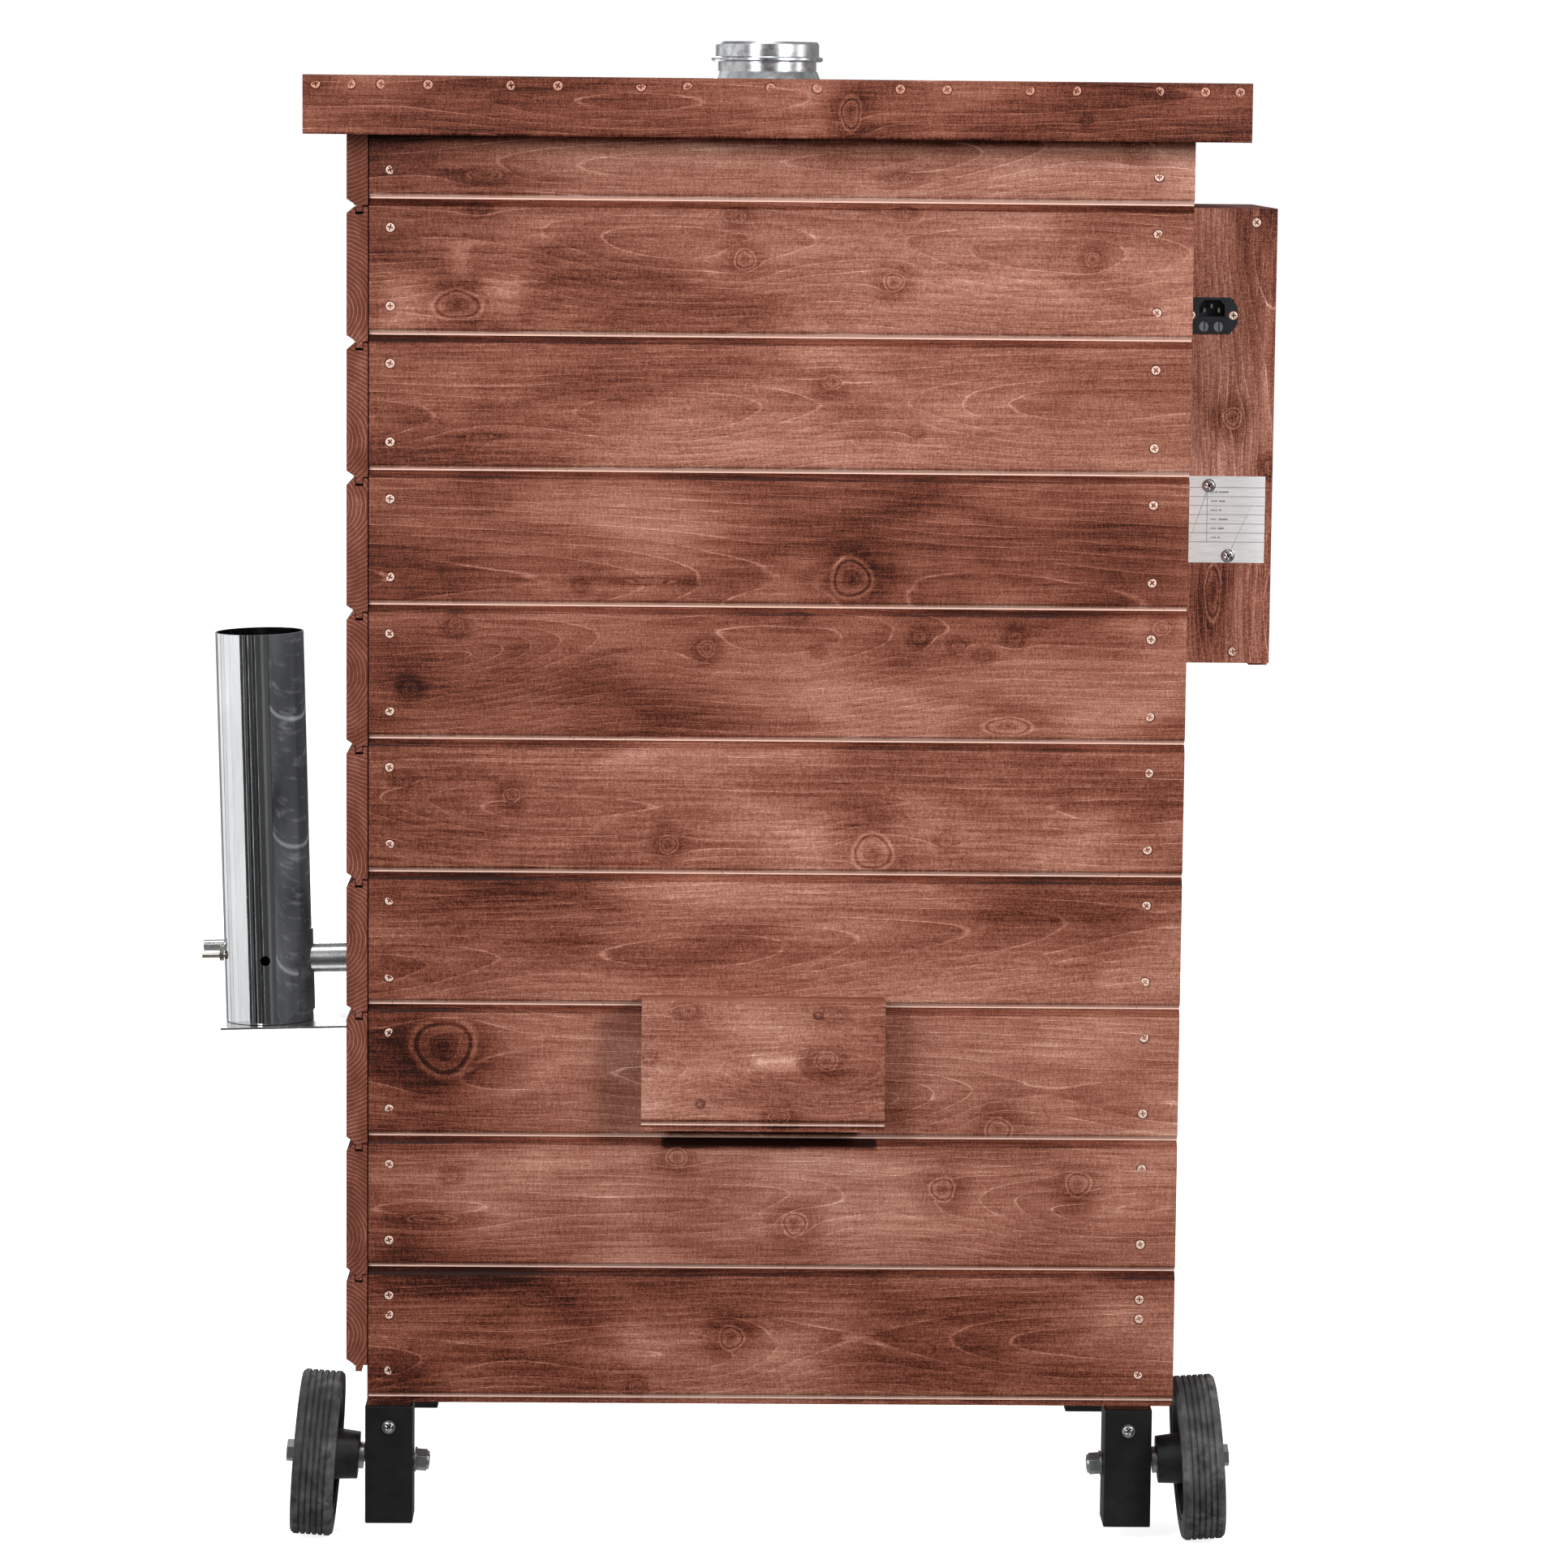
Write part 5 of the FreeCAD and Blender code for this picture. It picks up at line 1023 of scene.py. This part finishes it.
paint(grown_timber("post_timber", 2, seed=3.1), "corner_posts")
paint(grown_timber("rail_timber", 0, seed=5.3), "frame_rails")
paint(grown_timber("frame_timber", 2, seed=7.7), "front_frame", "door_battens")
paint(grown_timber("roof_timber", 1, seed=1.9), "roof_boards")
paint(grown_timber("box_timber", 1, seed=9.4), "control_box_ends")
paint(grown_timber("batten_timber", 0, seed=2.6), "vent_cover_battens")


def tyre_rubber(name):
    """Ribbed rubber, grey with dust on its tread and scuffed in streaks round the wheel."""
    g = Graph(name)
    place = g.place()
    powder = g.noise(place, 60.0, 4.0, 0.7)
    scuff = g.noise(g.scale(place, (260.0, 40.0, 40.0)), 1.0, 3.0, 0.6)
    broad = g.noise(place, 14.0, 3.0, 0.5)
    dusty = g.times(g.span(powder, 0.36, 0.64), g.span(broad, 0.32, 0.62))
    shade = g.mix(g.times(dusty, 0.70), tone(46, 46, 48), tone(136, 134, 132))
    shade = g.mix(g.span(scuff, 0.52, 0.70, 0.0, 0.5), shade, tone(86, 84, 84))
    g.bump(g.noise(place, 700.0, 2.0, 0.6), 0.35, 0.0005)
    return g.set(Base_Color=shade, Roughness=0.72, specular=0.3)


def tube_metal(name):
    """Polished seamless tube: mirror bright with fine rings, smears and a few droplets."""
    g = Graph(name)
    place = g.place()
    drawn = g.noise(g.scale(place, (900.0, 900.0, 2.0)), 1.0, 3.0, 0.7)
    smear = g.noise(g.scale(place, (18.0, 18.0, 7.0)), 1.0, 3.0, 0.6, 0.8)
    drops = g.noise(place, 260.0, 2.0, 0.6)
    shade = g.mix(g.span(smear, 0.4, 0.75, 0.0, 0.22), tone(230, 232, 234), tone(160, 162, 166))
    shade = g.mix(g.span(drawn, 0.50, 0.70, 0.0, 0.30), shade, tone(150, 152, 156))
    g.bump(g.add(g.times(drawn, 0.5), g.times(drops, 0.2)), 0.06, 0.0003)
    wear = g.add(g.span(smear, 0.35, 0.7, 0.03, 0.08), g.span(drops, 0.6, 0.75, 0, 0.12))
    return g.set(Base_Color=shade, Roughness=wear, Metallic=1.0)


def galvanised(name):
    """Zinc-coated flue sheet with faint spangle."""
    g = Graph(name)
    place = g.place()
    cells = g.node("TexVoronoi", {"Vector": place, "Scale": 160.0}, out=1)
    tint = g.node("SeparateColor", {0: cells})
    smear = g.noise(g.scale(place, (20.0, 20.0, 60.0)), 1.0, 3.0, 0.6)
    shade = g.ramp(g.add(g.times(tint, 0.4), g.times(smear, 0.6)),
                   [(0.2, tone(168, 172, 176)), (0.8, tone(228, 230, 232))])
    g.bump(smear, 0.12, 0.0006)
    return g.set(Base_Color=shade, Roughness=g.span(smear, 0.3, 0.7, 0.20, 0.36), Metallic=1.0)


def plate_print(name, node):
    """A satin plate with plain table rules and short broken bars, and no words."""
    g = Graph(name)
    a, b = low(node), high(node)
    place = g.shift(g.place(), tuple(a))
    x, _, z = g.split(place)
    wide, tall = b.x - a.x, b.z - a.z
    across = g.minus(wide, x)
    row = g.math("DIVIDE", g.minus(z, 0.24 * tall), 0.105 * tall)
    off = g.size(g.minus(row, g.math("ROUND", row)))
    rule = g.times(g.math("LESS_THAN", off, 0.035), g.between(row, -0.2, 6.2))
    post = g.math("LESS_THAN", g.size(g.minus(across, 0.30 * wide)), 0.0003)
    post = g.times(post, g.between(z, 0.24 * tall, 0.87 * tall))
    ragged = g.noise(g.scale(place, (900.0, 0.0, 12.0)), 1.0, 1.0)
    reach = g.math("FRACT", g.times(g.math("FLOOR", row), 0.37))
    reach = g.math("MULTIPLY_ADD", reach, 0.12 * wide, 0.46 * wide)
    bars = g.math("LESS_THAN", g.size(g.minus(off, 0.5)), 0.09)
    bars = g.times(bars, g.between(across, 0.34 * wide, reach))
    bars = g.times(bars, g.math("GREATER_THAN", ragged, 0.42))
    bars = g.times(bars, g.between(row, -0.2, 5.9))
    ink = g.math("MAXIMUM", g.math("MAXIMUM", rule, post), bars)
    grainy = g.noise(g.scale(g.place(), (40.0, 40.0, 900.0)), 1.0, 3.0, 0.7)
    base = g.ramp(g.span(grainy, 0.3, 0.7), [(0.0, tone(214, 215, 216)),
                                             (1.0, tone(242, 242, 242))])
    colour = g.mix(g.times(ink, 0.7), base, tone(60, 62, 64))
    g.bump(grainy, 0.06, 0.0002)
    return g.set(Base_Color=colour, Roughness=0.42, Metallic=0.25, specular=0.5)


paint(tyre_rubber("tyre_rubber"), "wheel_tyre_left", "wheel_tyre_right")
paint(tube_metal("polished_tube"), "generator_tube")
paint(bright_metal("bracket_steel", tone(206, 206, 206), 0.20, 0.2, 0.2), "generator_bracket")
paint(galvanised("galvanised"), "chimney_pipe", "chimney_collar", "chimney_cap")
paint(plate_print("rating_print", "rating_plate"), "rating_plate")
paint(plate_print("controller_plate", "temperature_controller"), "temperature_controller")
gauge_low, gauge_high = low("door_thermometer"), high("door_thermometer")
paint(gauge_dial("gauge_face", ((gauge_low.x + gauge_high.x) / 2, gauge_low.y,
                                (gauge_low.z + gauge_high.z) / 2),
                 (1, 0, 0), (0, 0, 1), (gauge_high.x - gauge_low.x) / 2), "door_thermometer")


def soften(names, width=0.5 * MM, segments=2):
    """Round the sharp edges of CAD parts a little so that they catch the light."""
    for name in names:
        NODES[name].data.shade_flat()
        weld = NODES[name].modifiers.new("weld", "WELD")
        weld.merge_threshold = 2e-5
        bevel = NODES[name].modifiers.new("edges", "BEVEL")
        bevel.width, bevel.segments = width, segments
        bevel.limit_method, bevel.angle_limit = "ANGLE", math.radians(40)
        bevel.use_clamp_overlap = True


for name in NODES:
    NODES[name].data.shade_smooth()
soften(["leg_sleeves"], 1.6 * MM, 3)
soften(["power_inlet", "fuse_cap_left", "fuse_cap_right"], 0.35 * MM)
soften(["axle_nuts", "generator_bracket", "rating_plate"], 0.3 * MM)

# ---- closing ----

make_camera()
make_stage()
